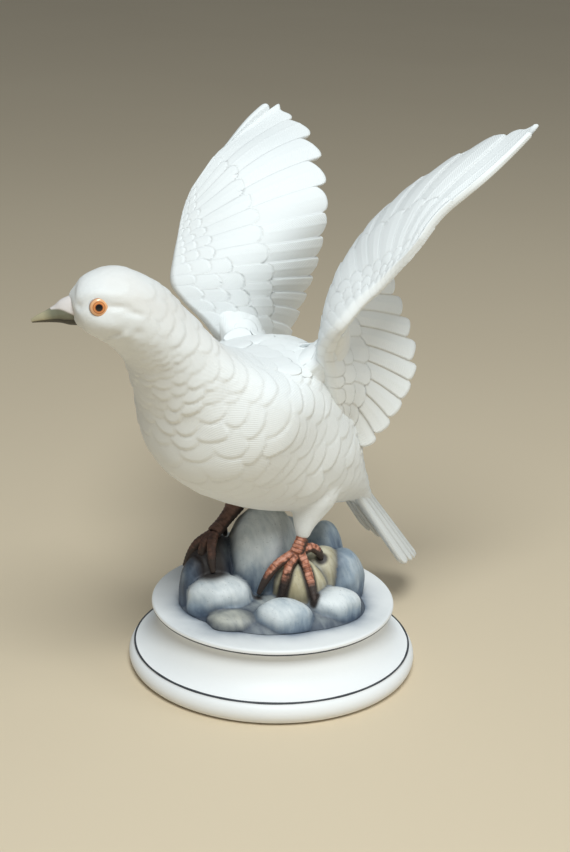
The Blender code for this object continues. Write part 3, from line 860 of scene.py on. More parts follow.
def plate_turn(tree, given):
    """Turns a feather upright on the skin, along its aim, and tilts it."""
    upright = add_node(tree, "FunctionNodeAlignRotationToVector",
                       {"Vector": stored(tree, "skin_normal", "FLOAT_VECTOR")}, axis="Z")
    turned = add_node(tree, "FunctionNodeAlignRotationToVector",
                      {"Rotation": upright.outputs[0], "Vector": stored(tree, "feather_aim", "FLOAT_VECTOR")},
                      axis="Y", pivot_axis="Z")
    angles = add_node(tree, "ShaderNodeCombineXYZ", (given["Tilt"],))
    tilt = add_node(tree, "FunctionNodeEulerToRotation", (angles.outputs[0],))
    return add_node(tree, "FunctionNodeRotateRotation", (turned.outputs[0], tilt.outputs[0]),
                    rotation_space="LOCAL").outputs[0]


def plate_tree(material):
    """Geometry Nodes: lays one domed feather on every point, turned to the skin and along its aim."""
    tree = bpy.data.node_groups.new("shoulder_feathers", "GeometryNodeTree")
    face = tree.interface
    for way in ("INPUT", "OUTPUT"):
        face.new_socket("Geometry", in_out=way, socket_type="NodeSocketGeometry")
    for name, value in PLATE_SIZES.items():
        face.new_socket(name, in_out="INPUT", socket_type="NodeSocketFloat").default_value = value
    face.new_socket("Seed", in_out="INPUT", socket_type="NodeSocketInt").default_value = PLATE_SEED
    given = add_node(tree, "NodeGroupInput").outputs

    chance = add_node(tree, "FunctionNodeRandomValue", {2: 0.88, 3: 1.12, "Seed": given["Seed"]})
    lay = add_node(tree, "GeometryNodeInstanceOnPoints", {
        "Points": given["Geometry"],
        "Instance": plate_shape(tree, given),
        "Rotation": plate_turn(tree, given),
        "Scale": maths(tree, "MULTIPLY", chance.outputs[1], stored(tree, "feather_size", "FLOAT")),
    })
    real = add_node(tree, "GeometryNodeRealizeInstances", {"Geometry": lay.outputs["Instances"]})
    smooth = add_node(tree, "GeometryNodeSetShadeSmooth", {"Geometry": real.outputs["Geometry"]})
    paint = add_node(tree, "GeometryNodeSetMaterial",
                     {"Geometry": smooth.outputs["Geometry"], "Material": material})
    add_node(tree, "NodeGroupOutput", {"Geometry": paint.outputs["Geometry"]})
    return tree


def surface_tree(pieces):
    """A search tree over the faces of some pieces."""
    places, faces = [], []
    for piece in pieces:
        first = len(places)
        places.extend(point.co.copy() for point in piece.data.vertices)
        faces.extend([first + corner for corner in polygon.vertices] for polygon in piece.data.polygons)
    return BVHTree.FromPolygons(places, faces)


def shoulder_seeds(skin, side):
    """Places, normals, aims and sizes of the feathers in rows from the back up onto one wing's inner face."""
    seeds = []
    for row in range(SHOULDER_ROWS):
        share = row / (SHOULDER_ROWS - 1)
        source = Vector((0, -24 + 58 * share, 168 - 34 * share)) * STEP + Vector((0, 0, SEAT))
        trail = []
        for turn in np.radians(np.linspace(6, 104, 90)):
            spot, normal, _, _ = skin.ray_cast(source, Vector((side * math.sin(turn), 0, -math.cos(turn))))
            if spot is None or (trail and (spot - trail[-1][0]).length > 0.006):
                break
            trail.append((spot, normal if normal.dot(source - spot) > 0 else -normal))
        run = run_along(np.array([spot for spot, _ in trail])) / STEP
        reach = min(run[-1] - 4, SHOULDER_REACH - 6 * share)
        for distance in np.arange(2 + SHOULDER_SPACING / 2 * (row % 2), reach, SHOULDER_SPACING):
            spot, normal = trail[int(np.searchsorted(run, distance))]
            up_wing = distance / SHOULDER_REACH
            aim = (0.12 * side * up_wing, 0.9, -0.5 + 0.3 * up_wing)
            seeds.append((tuple(spot), tuple(normal), aim, 1.1 - 0.25 * up_wing))
    return seeds


def lay_on_skin(mesh, seeds, skin):
    """Bends each feather to the skin under it, its tip a little higher than its root."""
    points = mesh_points(mesh)
    for feather, (_, normal, aim, _) in zip(points.reshape(len(seeds), -1, 3), seeds):
        normal = np.array(normal)
        lengthwise = unit(np.array(aim) - normal * np.dot(aim, normal))
        offset = (feather - feather.mean(0)) / STEP
        x = offset @ np.cross(lengthwise, normal)
        y = offset @ lengthwise
        spots = np.array([skin.find_nearest(Vector(place))[0] for place in feather])
        gap = (spots - feather) @ normal
        terms = np.stack([np.ones_like(x), x, y, x * x, x * y, y * y], 1)
        bend = terms @ np.linalg.lstsq(terms, gap, rcond=None)[0]
        bend += PLATE_LIFTS[0] + PLATE_LIFTS[1] * y / y.max()
        feather += normal * bend[:, None]
    mesh.vertices.foreach_set("co", points.ravel())
    mesh.update()


def shoulder_feathers(material, pieces):
    """Overlapping feathers over both shoulders, laid by Geometry Nodes and made a plain mesh."""
    skin = surface_tree(pieces)
    seeds = [seed for side in (1, -1) for seed in shoulder_seeds(skin, side)]
    places, normals, aims, sizes = (np.array(column, np.float32) for column in zip(*seeds))
    mesh = bpy.data.meshes.new("shoulder_points")
    mesh.from_pydata(places.tolist(), [], [])
    for key, values in (("skin_normal", normals), ("feather_aim", aims)):
        mesh.attributes.new(key, "FLOAT_VECTOR", "POINT").data.foreach_set("vector", values.ravel())
    add_marks(mesh, {"feather_size": sizes})
    holder = add_object("shoulder_points", mesh)
    tree = plate_tree(material)
    modifier = holder.modifiers.new("feathers", "NODES")
    modifier.node_group = tree
    for item in tree.interface.items_tree:
        if item.in_out == "INPUT" and item.name in PLATE_SIZES:
            modifier[item.identifier] = PLATE_SIZES[item.name]
    plain = plain_mesh(holder)
    plain.name = "shoulder_feathers"
    lay_on_skin(plain, seeds, skin)
    return add_object("shoulder_feathers", plain)


# tail

def tail_surface(across, along):
    """A place on the tail's middle surface, across from -1 to 1 and along from the rump to the tips."""
    root = np.array(TAIL_ROOT, float)
    tip = np.array(TAIL_TIP, float)
    axis = unit(tip - root)
    under = np.cross(np.array([1.0, 0, 0]), axis)
    under = -under if under[2] > 0 else under
    half_width = TAIL_HALF_WIDTHS[0] + (TAIL_HALF_WIDTHS[1] - TAIL_HALF_WIDTHS[0]) * along
    droop = TAIL_DROOPS[0] + (TAIL_DROOPS[1] - TAIL_DROOPS[0]) * along
    droop = droop * np.where(across < 0, RIGHT_DROOP, 1.0)
    reach = along * (1 - TAIL_SHORTENING / np.linalg.norm(tip - root) * across**2)
    point = root + (tip - root) * reach[..., None] + under * (droop * across**2)[..., None]
    return point + np.array([1.0, 0, 0]) * (half_width * across)[..., None]


def tail_piece(material):
    """The fanned, drooping tail of long overlapping feathers with rounded tips."""
    across, share, _ = fan_columns(np.linspace(-1, 1, TAIL_FEATHERS + 1), TAIL_COLUMNS)
    rows = np.linspace(0, 1, TAIL_ROWS)[:, None]
    along = rows * (1 - 0.055 * rounded_end(2 * share - 1))
    wide = np.ones((TAIL_ROWS, 1)) * across
    base = tail_surface(wide, along)
    out_step = tail_surface(wide + 0.01, along) - tail_surface(wide - 0.01, along)
    down_step = tail_surface(wide, along + 0.01) - tail_surface(wide, along - 0.01)
    normals = unit(np.cross(down_step, out_step))
    toward_edge = np.where(wide > 0, share, 1 - share)
    saw = 1 - toward_edge
    shaft = 0.3 * np.exp(-(((share - 0.5) * 4.0) / 0.45) ** 2)
    half = 1.4 * (1 - 0.55 * along) + 0.25
    half = half * np.clip(0.3 + (1 - rows) * TAIL_LENGTH / 2.0, 0, 1)
    # painted shade along each tail feather's edge
    groove_shade = 0.9 * np.exp(-toward_edge * 4.0 / 0.5)
    grids = [base + normals * (half + saw + shaft)[..., None],
             base - normals * (half + 0.7 * (1 - saw) + shaft)[..., None]]
    local = (share - 0.5) * 5.0 * np.ones_like(along)
    return sheet_piece("tail", grids, (groove_shade, groove_shade), (local, local), along * TAIL_LENGTH, material, True)


# legs, feet and face

def tubes_piece(name, paths, radius, sides, rings, material, swell=None, flatness=1.0, claws=0.0):
    """Several tapering limbs as one piece, with dark ends where claws is 1."""
    points, faces, along, ring, upper = [], [], [], [], []
    for number, path in enumerate(paths):
        first = number * (rings * sides + 2)
        grid, lengths = tube_grid(path, radius, sides, rings, swell, flatness)
        points.extend([grid.reshape(-1, 3), grid[0].mean(0)[None], grid[-1].mean(0)[None]])
        faces.extend([tuple(first + corner for corner in face) for face in loft_faces(rings, sides)])
        phase = np.sin(math.pi * ((lengths / SCALE_PITCH) % 1.0))
        along.append(np.append(np.repeat(lengths / lengths[-1], sides), [0, 1]) * claws)
        ring.append(np.append(np.repeat(phase, sides), [1, 1]))
        upper.append(np.append(unit(grid - grid.mean(1, keepdims=True))[..., 2].ravel(), [0, 0]))
    marks = {"along": np.concatenate(along), "ring": np.concatenate(ring), "upper": np.concatenate(upper)}
    return new_piece(name, np.vstack(points), faces, material, marks)


def scale_rings(lengths):
    """The ring-shaped scales of a toe."""
    phase = (lengths / SCALE_PITCH) % 1.0
    return 0.10 * np.sin(math.pi * phase) ** 0.7 - 0.05


# materials

def new_material(name, roughness, specular=0.4):
    """A Principled material with its tree and shader."""
    material = bpy.data.materials.new(name)
    material.use_nodes = True
    tree = material.node_tree
    shader = tree.nodes["Principled BSDF"]
    shader.inputs["Roughness"].default_value = roughness
    shader.inputs["Specular IOR Level"].default_value = specular
    return material, tree, shader


def link_noise(tree, scale, detail=4.0, stretch=None):
    """A noise texture on Object coordinates."""
    place = add_node(tree, "ShaderNodeTexCoord").outputs["Object"]
    if stretch:
        place = add_node(tree, "ShaderNodeMapping", {"Vector": place, "Scale": stretch}).outputs["Vector"]
    return add_node(tree, "ShaderNodeTexNoise",
                    {"Vector": place, "Scale": scale, "Detail": detail}).outputs["Fac"]


def mix_colour(tree, share, first, second):
    """Mixes two colours, each a value or a socket, by a share that is a value or a socket."""
    return add_node(tree, "ShaderNodeMix", {0: share, 6: first, 7: second}, data_type="RGBA").outputs[2]


def ramp(tree, source, stops):
    """A colour ramp over a value."""
    node = add_node(tree, "ShaderNodeValToRGB", (source,))
    elements = node.color_ramp.elements
    elements[0].position, elements[1].position = stops[0][0], stops[-1][0]
    for place, _ in stops[1:-1]:
        elements.new(place)
    for place, colour in stops:
        nearest = min(elements, key=lambda element: abs(element.position - place))
        nearest.color = (*colour, 1)
    return node.outputs["Color"]


def fade(tree, source, start, end):
    """A soft change of a value; start and end are each a place and a level."""
    return ramp(tree, source, [(place, (level, level, level)) for place, level in (start, end)])


def attribute(tree, name):
    """A named attribute of the mesh as a value."""
    return add_node(tree, "ShaderNodeAttribute", attribute_name=name).outputs["Fac"]


def add_bump(tree, shader, height, distance, strength=1.0, under=None):
    """A bump in metres on a shader, on top of another if given."""
    bump = add_node(tree, "ShaderNodeBump", {"Distance": distance, "Strength": strength,
                                             "Height": height, "Normal": under}).outputs["Normal"]
    tree.links.new(bump, shader.inputs["Normal"])
    return bump


def bisque_feathers():
    """Matte white bisque with a trace of painted shade at the feathers' edges, a beige nape and fine barbs.
    """
    material, tree, shader = new_material("bisque_feathers", 0.62, 0.35)
    cloud = link_noise(tree, 28, 3)
    white = mix_colour(tree, cloud, (0.82, 0.85, 0.86, 1), (0.88, 0.90, 0.90, 1))
    tint = maths(tree, "MULTIPLY", attribute(tree, "tint"), link_noise(tree, 60, 3))
    toned = mix_colour(tree, maths(tree, "MULTIPLY", tint, 0.9), white, (0.72, 0.68, 0.63, 1))
    # painted shade: the feathers' edges darkened towards warm grey
    groove_shade = maths(tree, "MULTIPLY", attribute(tree, "groove_shade"), 0.3)
    colour = mix_colour(tree, groove_shade, toned, (0.56, 0.53, 0.49, 1))
    tree.links.new(colour, shader.inputs["Base Color"])
    parts = split(tree, add_node(tree, "ShaderNodeUVMap", uv_map="feather").outputs["UV"])
    slant = maths(tree, "ADD", parts["Y"], maths(tree, "ABSOLUTE", parts["X"]))
    barbs = maths(tree, "SINE", maths(tree, "MULTIPLY", slant, 5.2))
    first = add_bump(tree, shader, barbs, 0.00006, 0.55)
    add_bump(tree, shader, link_noise(tree, 900, 5), 0.00012, 0.35, first)
    return material


def foot_paint():
    """Coral feet with dark paint between the ring scales, painted shade on their lower sides and on the whole
    far foot.
    """
    material, tree, shader = new_material("coral_feet", 0.5)
    cloud = link_noise(tree, 420, 4)
    colour = ramp(tree, cloud, [(0.34, (0.20, 0.07, 0.04)), (0.46, (0.45, 0.17, 0.10)),
                                (0.62, (0.66, 0.32, 0.23))])
    rings = fade(tree, attribute(tree, "ring"), (0.12, 0.8), (0.5, 0.0))
    colour = mix_colour(tree, rings, colour, (0.13, 0.05, 0.035, 1))
    # painted shade: the lower side of each toe and shank darkened almost to black
    top = maths(tree, "ADD", attribute(tree, "upper"), maths(tree, "MULTIPLY", cloud, 0.5))
    colour = mix_colour(tree, fade(tree, top, (0.30, 0.95), (0.52, 0.0)), colour, (0.045, 0.028, 0.022, 1))
    # painted shade: the far leg and foot, under the belly, darkened nearly to black
    place = split(tree, add_node(tree, "ShaderNodeTexCoord").outputs["Object"])
    far = maths(tree, "LESS_THAN", place["X"], 0.0)
    colour = mix_colour(tree, maths(tree, "MULTIPLY", far, 0.82), colour, (0.055, 0.04, 0.035, 1))
    end = fade(tree, attribute(tree, "along"), (0.56, 0.0), (0.70, 1.0))
    tree.links.new(mix_colour(tree, end, colour, (0.05, 0.035, 0.03, 1)), shader.inputs["Base Color"])
    add_bump(tree, shader, cloud, 0.0004, 0.5)
    return material


def rock_paint():
    """Brushed blue grey, white and ochre rocks, with painted shade where they meet, painted shadow round the
    feet and painted light adding to their lighter tops.
    """
    material, tree, shader = new_material("painted_rocks", 0.5)
    patches = link_noise(tree, 55, 4)
    strokes = link_noise(tree, 150, 4, (1.0, 3.0, 0.6))
    specks = link_noise(tree, 1300, 3)
    mottle = maths(tree, "ADD", maths(tree, "MULTIPLY", maths(tree, "SUBTRACT", patches, 0.5), 0.9),
                   maths(tree, "MULTIPLY", maths(tree, "SUBTRACT", strokes, 0.5), 0.5))
    tone = maths(tree, "ADD", attribute(tree, "light"), mottle)
    blue = ramp(tree, tone, [
        (0.0, (0.035, 0.05, 0.085)), (0.20, (0.11, 0.16, 0.23)), (0.42, (0.30, 0.37, 0.44)),
        (0.62, (0.50, 0.56, 0.60)), (0.90, (0.74, 0.78, 0.80))])
    ochre = ramp(tree, tone, [
        (0.0, (0.04, 0.03, 0.02)), (0.20, (0.15, 0.11, 0.05)), (0.42, (0.34, 0.28, 0.15)),
        (0.62, (0.50, 0.43, 0.26)), (0.85, (0.70, 0.65, 0.48))])
    colour = mix_colour(tree, attribute(tree, "ochre"), blue, ochre)
    # painted shade: dark blue where two stones meet
    crevice_shade = maths(tree, "MULTIPLY", attribute(tree, "crevice_shade"), 0.85)
    colour = mix_colour(tree, crevice_shade, colour, (0.035, 0.05, 0.08, 1))
    # painted shadow of the toes and the far leg, dark brown on the rocks
    colour = mix_colour(tree, attribute(tree, "foot"), colour, (0.035, 0.027, 0.024, 1))
    colour = mix_colour(tree, fade(tree, specks, (0.28, 0.4), (0.36, 0.0)), colour, (0.05, 0.06, 0.08, 1))
    tree.links.new(colour, shader.inputs["Base Color"])
    add_bump(tree, shader, strokes, 0.0005, 0.5)
    return material


def plain_bisque_with_lines():
    """The base's bisque with a fine dark line round the rim and one round the disc's edge."""
    material, tree, shader = new_material("banded_bisque", 0.5)
    cloud = link_noise(tree, 22, 3)
    white = mix_colour(tree, cloud, (0.85, 0.87, 0.88, 1), (0.90, 0.91, 0.92, 1))
    wobble = maths(tree, "MULTIPLY", maths(tree, "SUBTRACT", link_noise(tree, 60, 3), 0.5), 0.35 * LINE_WIDTH)
    off_line = maths(tree, "ABSOLUTE", attribute(tree, "off_line"))
    line = maths(tree, "LESS_THAN", off_line, maths(tree, "ADD", wobble, LINE_WIDTH / 2))
    colour = mix_colour(tree, line, white, (0.05, 0.055, 0.065, 1))
    patches = maths(tree, "ADD", link_noise(tree, 90, 4), 0.35)
    stain = maths(tree, "MULTIPLY", attribute(tree, "stain"), patches)
    colour = mix_colour(tree, stain, colour, (0.16, 0.20, 0.26, 1))
    tree.links.new(colour, shader.inputs["Base Color"])
    add_bump(tree, shader, link_noise(tree, 700, 4), 0.0001, 0.3)
    return material


def beak_paint():
    """Grey olive beak, darker at the mouth and tip and pale at the root, with painted shade making the mouth
    crease and the lower mandible near-black.
    """
    material, tree, shader = new_material("beak_paint", 0.42)
    colour = ramp(tree, attribute(tree, "along"), [(0.0, (0.16, 0.16, 0.12)), (0.55, (0.20, 0.20, 0.14)),
                                                   (0.75, (0.42, 0.38, 0.25)), (1.0, (0.40, 0.36, 0.24))])
    # painted shade: the mouth crease and the lower mandible near-black
    colour = mix_colour(tree, attribute(tree, "mouth"), colour, (0.035, 0.03, 0.025, 1))
    colour = mix_colour(tree, attribute(tree, "cere"), colour, (0.72, 0.67, 0.65, 1))
    tree.links.new(colour, shader.inputs["Base Color"])
    add_bump(tree, shader, link_noise(tree, 500, 4), 0.0002, 0.4)
    return material


def eye_paint():
    """Black pupil, orange ring and a thin dark outline."""
    material, tree, shader = new_material("eye_paint", 0.18, 0.5)
    colour = ramp(tree, attribute(tree, "radial"), [
        (0.0, (0.01, 0.008, 0.008)), (0.34, (0.012, 0.01, 0.01)), (0.39, (0.50, 0.16, 0.05)),
        (0.50, (0.74, 0.30, 0.10)), (0.60, (0.42, 0.14, 0.05)), (0.68, (0.80, 0.42, 0.20)),
        (0.84, (0.80, 0.46, 0.25)), (0.92, (0.42, 0.22, 0.13)), (1.0, (0.84, 0.80, 0.77))])
    tree.links.new(colour, shader.inputs["Base Color"])
    return material


# rocks, face and base

def mound_wave(angle):
    """The mound's uneven outline, in shares of its radius."""
    return 1 + 0.05 * np.sin(3 * angle + 1) + 0.03 * np.sin(5 * angle)


def rock_gaps(steps):
    """How far points lie outside each rock and, last, outside the mound; negative inside."""
    gaps = []
    for middle, sizes, turn, _, _ in ROCKS:
        turn = math.radians(turn)
        offset = steps - np.array(middle, float)
        x = offset[:, 0] * math.cos(turn) + offset[:, 1] * math.sin(turn)
        y = -offset[:, 0] * math.sin(turn) + offset[:, 1] * math.cos(turn)
        level = np.hypot(x / sizes[0], y / sizes[1])
        share = np.where(offset[:, 2] < 0, level, np.sqrt(level**2 + (offset[:, 2] / sizes[2]) ** 2))
        gaps.append((share - 1) * min(sizes))
    radius = APRON[0] * mound_wave(np.arctan2(steps[:, 1], steps[:, 0]))
    shares, heights = np.array(APRON_PROFILE).T
    reach = np.hypot(steps[:, 0], steps[:, 1]) / radius
    outside = (reach - 1) * APRON[0]
    above = steps[:, 2] - np.interp(reach, shares[::-1], heights[::-1]) * APRON[1]
    gaps.append(np.where(steps[:, 2] > 0.1, np.maximum(above, outside), outside))
    return np.array(gaps)


def path_distance(points, paths):
    """The distance from points to the nearest of some paths."""
    tree = KDTree(len(paths) * 40)
    for number, path in enumerate(paths):
        for index, place in enumerate(curve_at(path, np.linspace(0, len(path) - 1, 40))):
            tree.insert(place[:3], number * 40 + index)
    tree.balance()
    return np.array([tree.find(point)[2] for point in points])


def mound_piece(material):
    """The low mound under the rocks."""
    angle = round_turn(APRON_SIDES)
    outline = np.stack([np.cos(angle), np.sin(angle)], 1) * mound_wave(angle)[:, None] * APRON[0]
    rings = [(1.0, -0.3), *APRON_PROFILE]
    points = [np.column_stack([outline * share, np.full(APRON_SIDES, APRON[1] * height)])
              for share, height in rings]
    points = np.vstack([*points, (0, 0, -0.3 * APRON[1]), (0, 0, APRON[1])])
    return new_piece("mound", points, loft_faces(len(rings), APRON_SIDES), material)


def rock_heap(material):
    """The rocks and their mound as one softened casting, with marks for how they are painted."""
    bodies = [mound_piece(material)]
    for number, (middle, sizes, turn, _, _) in enumerate(ROCKS):
        bpy.ops.mesh.primitive_ico_sphere_add(subdivisions=5, radius=1.0)
        stone = bpy.context.object
        turn = math.radians(turn)
        for point in stone.data.vertices:
            place = point.co.copy()
            swell = 1 + 0.08 * math.sin(5 * place.x + number) * math.cos(4 * place.y - number)
            swell += 0.05 * noise.noise(place * 1.6 + Vector((number * 3.1, 0, 0)))
            swell += 0.03 * noise.noise(place * 4.0 + Vector((0, number * 2.3, 0)))
            level = math.hypot(place.x, place.y)
            if place.z < 0 and level > 0.3:
                swell /= level**0.8
            x = place.x * swell * sizes[0]
            y = place.y * swell * sizes[1]
            point.co = (
                (middle[0] + x * math.cos(turn) - y * math.sin(turn)) * STEP,
                (middle[1] + x * math.sin(turn) + y * math.cos(turn)) * STEP,
                max(SEAT + (middle[2] + place.z * sizes[2]) * STEP, SEAT - 0.002),
            )
        bodies.append(stone)
    return mark_rocks(melt(bodies, "rock_heap", ROCK_GRAIN, 5, material))


def mark_rocks(piece):
    """Sets the heap flat on the seat and marks which stones are ochre and how light, with painted shade where
    stones meet, painted light towards each top and painted shadow round the feet.
    """
    mesh = piece.data
    points = mesh_points(mesh)
    points[:, 2] = np.maximum(points[:, 2], SEAT)
    mesh.vertices.foreach_set("co", points.ravel())
    steps = to_steps(points)
    gaps = rock_gaps(steps)
    order = np.sort(gaps, axis=0)
    owner = np.argmin(gaps, axis=0)
    # painted shade where two stones meet, strongest where their surfaces are closest
    crevice_shade = 0.95 * np.exp(-np.clip(order[1] - order[0], 0, 50) / 2.2)
    paint = np.array([(rock[3], rock[4]) for rock in ROCKS] + [(0.3, 0.45)])
    height = np.array([rock[0][2] + rock[1][2] for rock in ROCKS] + [APRON[1]])
    top = np.clip(steps[:, 2] / height[owner], 0, 1)
    # painted shadow: close round the near toes, and wider round the far foot in the shade under the body
    near_feet = path_distance(steps, TOES[:4])
    far_feet = path_distance(steps, TOES[4:] + [LEGS[1][2:]])
    add_marks(mesh, {
        "ochre": paint[owner, 0],
        # lighter towards each rock's top: partly its own brushed paint, partly painted light from above
        "light": 0.10 + paint[owner, 1] * (0.25 + 0.55 * smoothstep(0.0, 0.8, top)),
        "crevice_shade": crevice_shade,
        "foot": np.maximum(1 - smoothstep(2.4, 4.2, near_feet), 0.95 * (1 - smoothstep(4.0, 10.0, far_feet))),
    })
    return piece


def beak_piece(material):
    """The beak with its mouth line and a slightly hooked tip."""
    smooth = curve_at(BEAK, np.linspace(0, len(BEAK) - 1, BEAK_RINGS))
    middles = smooth[:, None, :3]
    _, side, up = line_frames(smooth[:, :3])
    angle = round_turn(BEAK_SIDES)
    cosine, sine = np.cos(angle), np.sin(angle)
    lengths = run_along(smooth[:, :3])
    share = (lengths / lengths[-1])[:, None]
    mouth_level = np.interp(share, (0, 0.4, 1), (-0.60, -0.50, -0.45))
    mouth = np.exp(-((sine - mouth_level) / 0.13) ** 2)
    cere = smoothstep(-0.06, 0.06, sine - np.interp(share, (0.1, 0.25, 0.55, 0.62), (-0.2, 0.1, 0.75, 1.3)))
    flatter = np.interp(share, (0, 0.5, 0.8, 1), (0.72, 0.76, 0.85, 1.0))
    reach = np.where(sine > 0, 1 - (1 - flatter) * sine, 1 + 0.16 * sine)
    reach = smooth[:, 3:4] * (1 - 0.09 * mouth) * reach
    points = middles + side[:, None] * (reach * cosine * BEAK_WIDTH)[..., None]
    points = points + up[:, None] * (reach * sine)[..., None]
    swollen = 0.35 * cere * np.clip((0.66 - share) / 0.3, 0, 1)
    points = points + unit(points - middles) * swollen[..., None]
    points = np.vstack([points.reshape(-1, 3), smooth[0, :3], smooth[-1, :3]])
    # painted shade: the lower mandible below the mouth line is marked to be painted dark
    lower = 0.85 * smoothstep(0.02, 0.10, mouth_level - sine)
    marks = {
        "along": np.append(np.repeat(share, BEAK_SIDES), [0, 1]),
        "mouth": np.append(np.maximum(mouth, lower), [0, 0]),
        "cere": np.append(cere, [1, 0]),
    }
    return new_piece("beak", points, loft_faces(BEAK_RINGS, BEAK_SIDES, flip=True), material, marks)


def eye_pieces(material, body):
    """Two domed eyes set on the head's skin."""
    skin = surface_tree([body])
    share = np.append(np.repeat(1 - np.arange(EYE_RINGS) / EYE_RINGS, EYE_SIDES), 0)[:, None]
    turn = np.append(np.tile(round_turn(EYE_SIDES), EYE_RINGS), 0)[:, None]
    bulge = EYE_BULGE * np.sqrt(1 - share**2) - EYE_SINK
    tip = EYE_RINGS * EYE_SIDES
    around = np.arange(EYE_SIDES)
    fan = np.stack([around, np.roll(around, -1), np.full(EYE_SIDES, EYE_SIDES)], 1) + tip - EYE_SIDES
    dome = ring_quads(EYE_RINGS, EYE_SIDES) + [tuple(face) for face in fan] + [tuple(around[::-1])]
    points, faces = [], []
    for number, place in enumerate(EYE_PLACES):
        start = Vector(place) * STEP + Vector((0, 0, SEAT))
        spot, normal, _, _ = skin.find_nearest(start)
        outward = (start - spot).normalized()
        outward = np.array(outward if outward.dot(normal) > 0 else -outward)
        across = unit(np.cross(outward, np.array([0, 0, 1.0])))
        spokes = across * np.cos(turn) + np.cross(across, outward) * np.sin(turn)
        points.append(to_steps(spot) + spokes * EYE_RADIUS * share + outward * bulge)
        faces += [tuple(number * len(share) + corner for corner in face) for face in dome]
    marks = {"radial": np.tile(share.ravel(), len(EYE_PLACES))}
    return new_piece("eyes", np.vstack(points), faces, material, marks)


def arc(middle, radius, angles):
    """Points of a profile on part of a circle, at angles in degrees."""
    return [(middle[0] + radius * math.cos(turn), middle[1] + radius * math.sin(turn))
            for turn in map(math.radians, angles)]


def base_profile():
    """The base's profile from its top's middle to its underside, and the rows of its two painted lines."""
    top, rim, edge = DISC_TOP, RIM_HEIGHT, EDGE_ROUNDING
    under = top - DISC_THICKNESS
    profile = [(0.02, top)] + [(0.032 + 0.0012 * number, top) for number in range(22)]
    profile += arc((DISC_RADIUS - edge, top - edge), edge, range(90, -1, -15))
    profile += arc((DISC_RADIUS - edge, under + edge), edge, range(0, -91, -15))
    profile += [(WAIST_RADIUS + edge / 2, under - 0.0002), (WAIST_RADIUS, under - edge)]
    shoulder = BASE_RADIUS - 2 * edge
    for number in range(1, 24):
        sweep = math.radians(90 * number / 24)
        reach = WAIST_RADIUS + (shoulder - WAIST_RADIUS) * (1 - math.cos(sweep))
        profile.append((reach, under - edge - (under - edge - rim) * math.sin(sweep)))
    profile.append((shoulder, rim))
    lines = [len(profile) - 1, DISC_LINE_ROW]
    profile += arc((BASE_RADIUS - rim / 2, rim / 2), rim / 2, range(60, -61, -10))
    profile += [(BASE_RADIUS - 0.0040, 0.0004), (BASE_RADIUS - 0.0055, 0.0)]
    return np.array(profile), lines


def base_piece(material):
    """The turned base: rounded foot rim, hollow flare up to a waist, thin overhanging disc."""
    profile, lines = base_profile()
    angle = round_turn(BASE_SIDES)
    around = np.stack([np.cos(angle), np.sin(angle)], 1)
    rings = [np.column_stack([reach * around, np.full(BASE_SIDES, height)]) for reach, height in profile]
    points = to_steps(np.vstack([*rings, (0, 0, DISC_TOP), (0, 0, 0)]))
    gap = np.min(rock_gaps(np.column_stack([points[:, :2], np.zeros(len(points))])), axis=0)
    stain = np.exp(-np.clip(gap, 0, 60) / STAIN_REACH) * (points[:, 2] > -1)
    run = run_along(profile) / STEP
    off_line = np.minimum(np.abs(run - run[lines[0]]), np.abs(run - run[lines[1]]) / DISC_LINE_SHARE)
    marks = {"stain": stain, "off_line": np.append(np.repeat(off_line, BASE_SIDES), [99, 99])}
    faces = loft_faces(len(profile), BASE_SIDES, flip=True)
    return new_piece("round_base_turned", points, faces, material, marks)


# scene

def add_area(name, place, target, size, power, colour):
    """A soft area light aimed at a point."""
    light = bpy.data.lights.new(name, "AREA")
    light.shape = "DISK"
    light.size = size
    light.energy = power
    light.color = colour
    holder = add_object(name, light)
    holder.location = place
    holder.rotation_euler = (Vector(target) - Vector(place)).to_track_quat("-Z", "Y").to_euler()


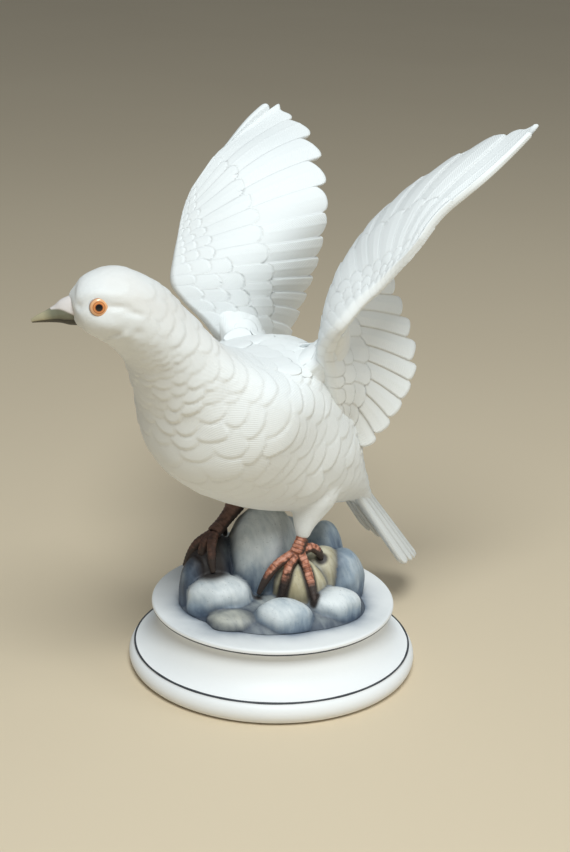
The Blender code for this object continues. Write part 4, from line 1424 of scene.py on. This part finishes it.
def add_camera():
    """The photograph's view: turned round from the front, looking down and held at a slight tilt."""
    turn, down, roll = (math.radians(angle) for angle in CAMERA_ANGLES)
    sideways, downward = ((spot - size / 2) / FOCAL_PIXELS * CAMERA_DISTANCE
                          for spot, size in zip(BASE_PIXEL, IMAGE_SIZE))
    data = bpy.data.cameras.new("photo_view")
    data.sensor_width = 36
    data.lens = FOCAL_PIXELS / max(IMAGE_SIZE) * data.sensor_width
    camera = add_object("photo_view", data)
    camera.matrix_world = (
        Matrix.Rotation(turn, 4, "Z") @ Matrix.Rotation(math.pi / 2 - down, 4, "X")
        @ Matrix.Rotation(roll, 4, "Z") @ Matrix.Translation((-sideways, downward, CAMERA_DISTANCE))
    )
    bpy.context.scene.camera = camera


def add_surroundings():
    """A plain flat floor in a pale tan, a weak sky and soft studio light."""
    material, tree, shader = new_material("studio_paper", 0.85, 0.2)
    tree.links.new(mix_colour(tree, link_noise(tree, 3, 2), *FLOOR_TONES), shader.inputs["Base Color"])
    mesh = bpy.data.meshes.new("studio_floor")
    corners = [(FLOOR_REACH * x, FLOOR_REACH * y, 0) for x, y in ((-1, -1), (1, -1), (1, 1), (-1, 1))]
    mesh.from_pydata(corners, [], [(0, 1, 2, 3)])
    mesh.materials.append(material)
    floor = add_object("studio_floor", mesh)
    world = bpy.data.worlds.new("studio")
    bpy.context.scene.world = world
    world.use_nodes = True
    sky = world.node_tree.nodes["Background"].inputs
    sky["Color"].default_value = SKY_COLOUR
    sky["Strength"].default_value = SKY_STRENGTH
    for name, values in LIGHTS.items():
        add_area(name, *values)
    bpy.context.scene.view_settings.view_transform = "Standard"


def finish_piece(piece):
    """Makes a piece ride with the one body."""
    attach(piece, "root")
    return piece


add_camera()
add_surroundings()
feathers = bisque_feathers()
body = dove_body(feathers)
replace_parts(finish_piece(body), "dove_on_rocks")
wings = [finish_piece(wing_piece(side, feathers)) for side in (1, -1)]
finish_piece(shoulder_feathers(feathers, [body] + wings))
finish_piece(tail_piece(feathers))
coral = foot_paint()
finish_piece(tubes_piece("shanks", [LEGS[0][3:], LEGS[1][1:]], LEG_RADIUS, 32, 40, coral, scale_rings))
finish_piece(tubes_piece("toes", TOES, TOE_RADIUS, 28, 50, coral, scale_rings, claws=1.0))
finish_piece(beak_piece(beak_paint()))
finish_piece(eye_pieces(eye_paint(), body))
finish_piece(rock_heap(rock_paint()))
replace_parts(finish_piece(base_piece(plain_bisque_with_lines())), "round_base")
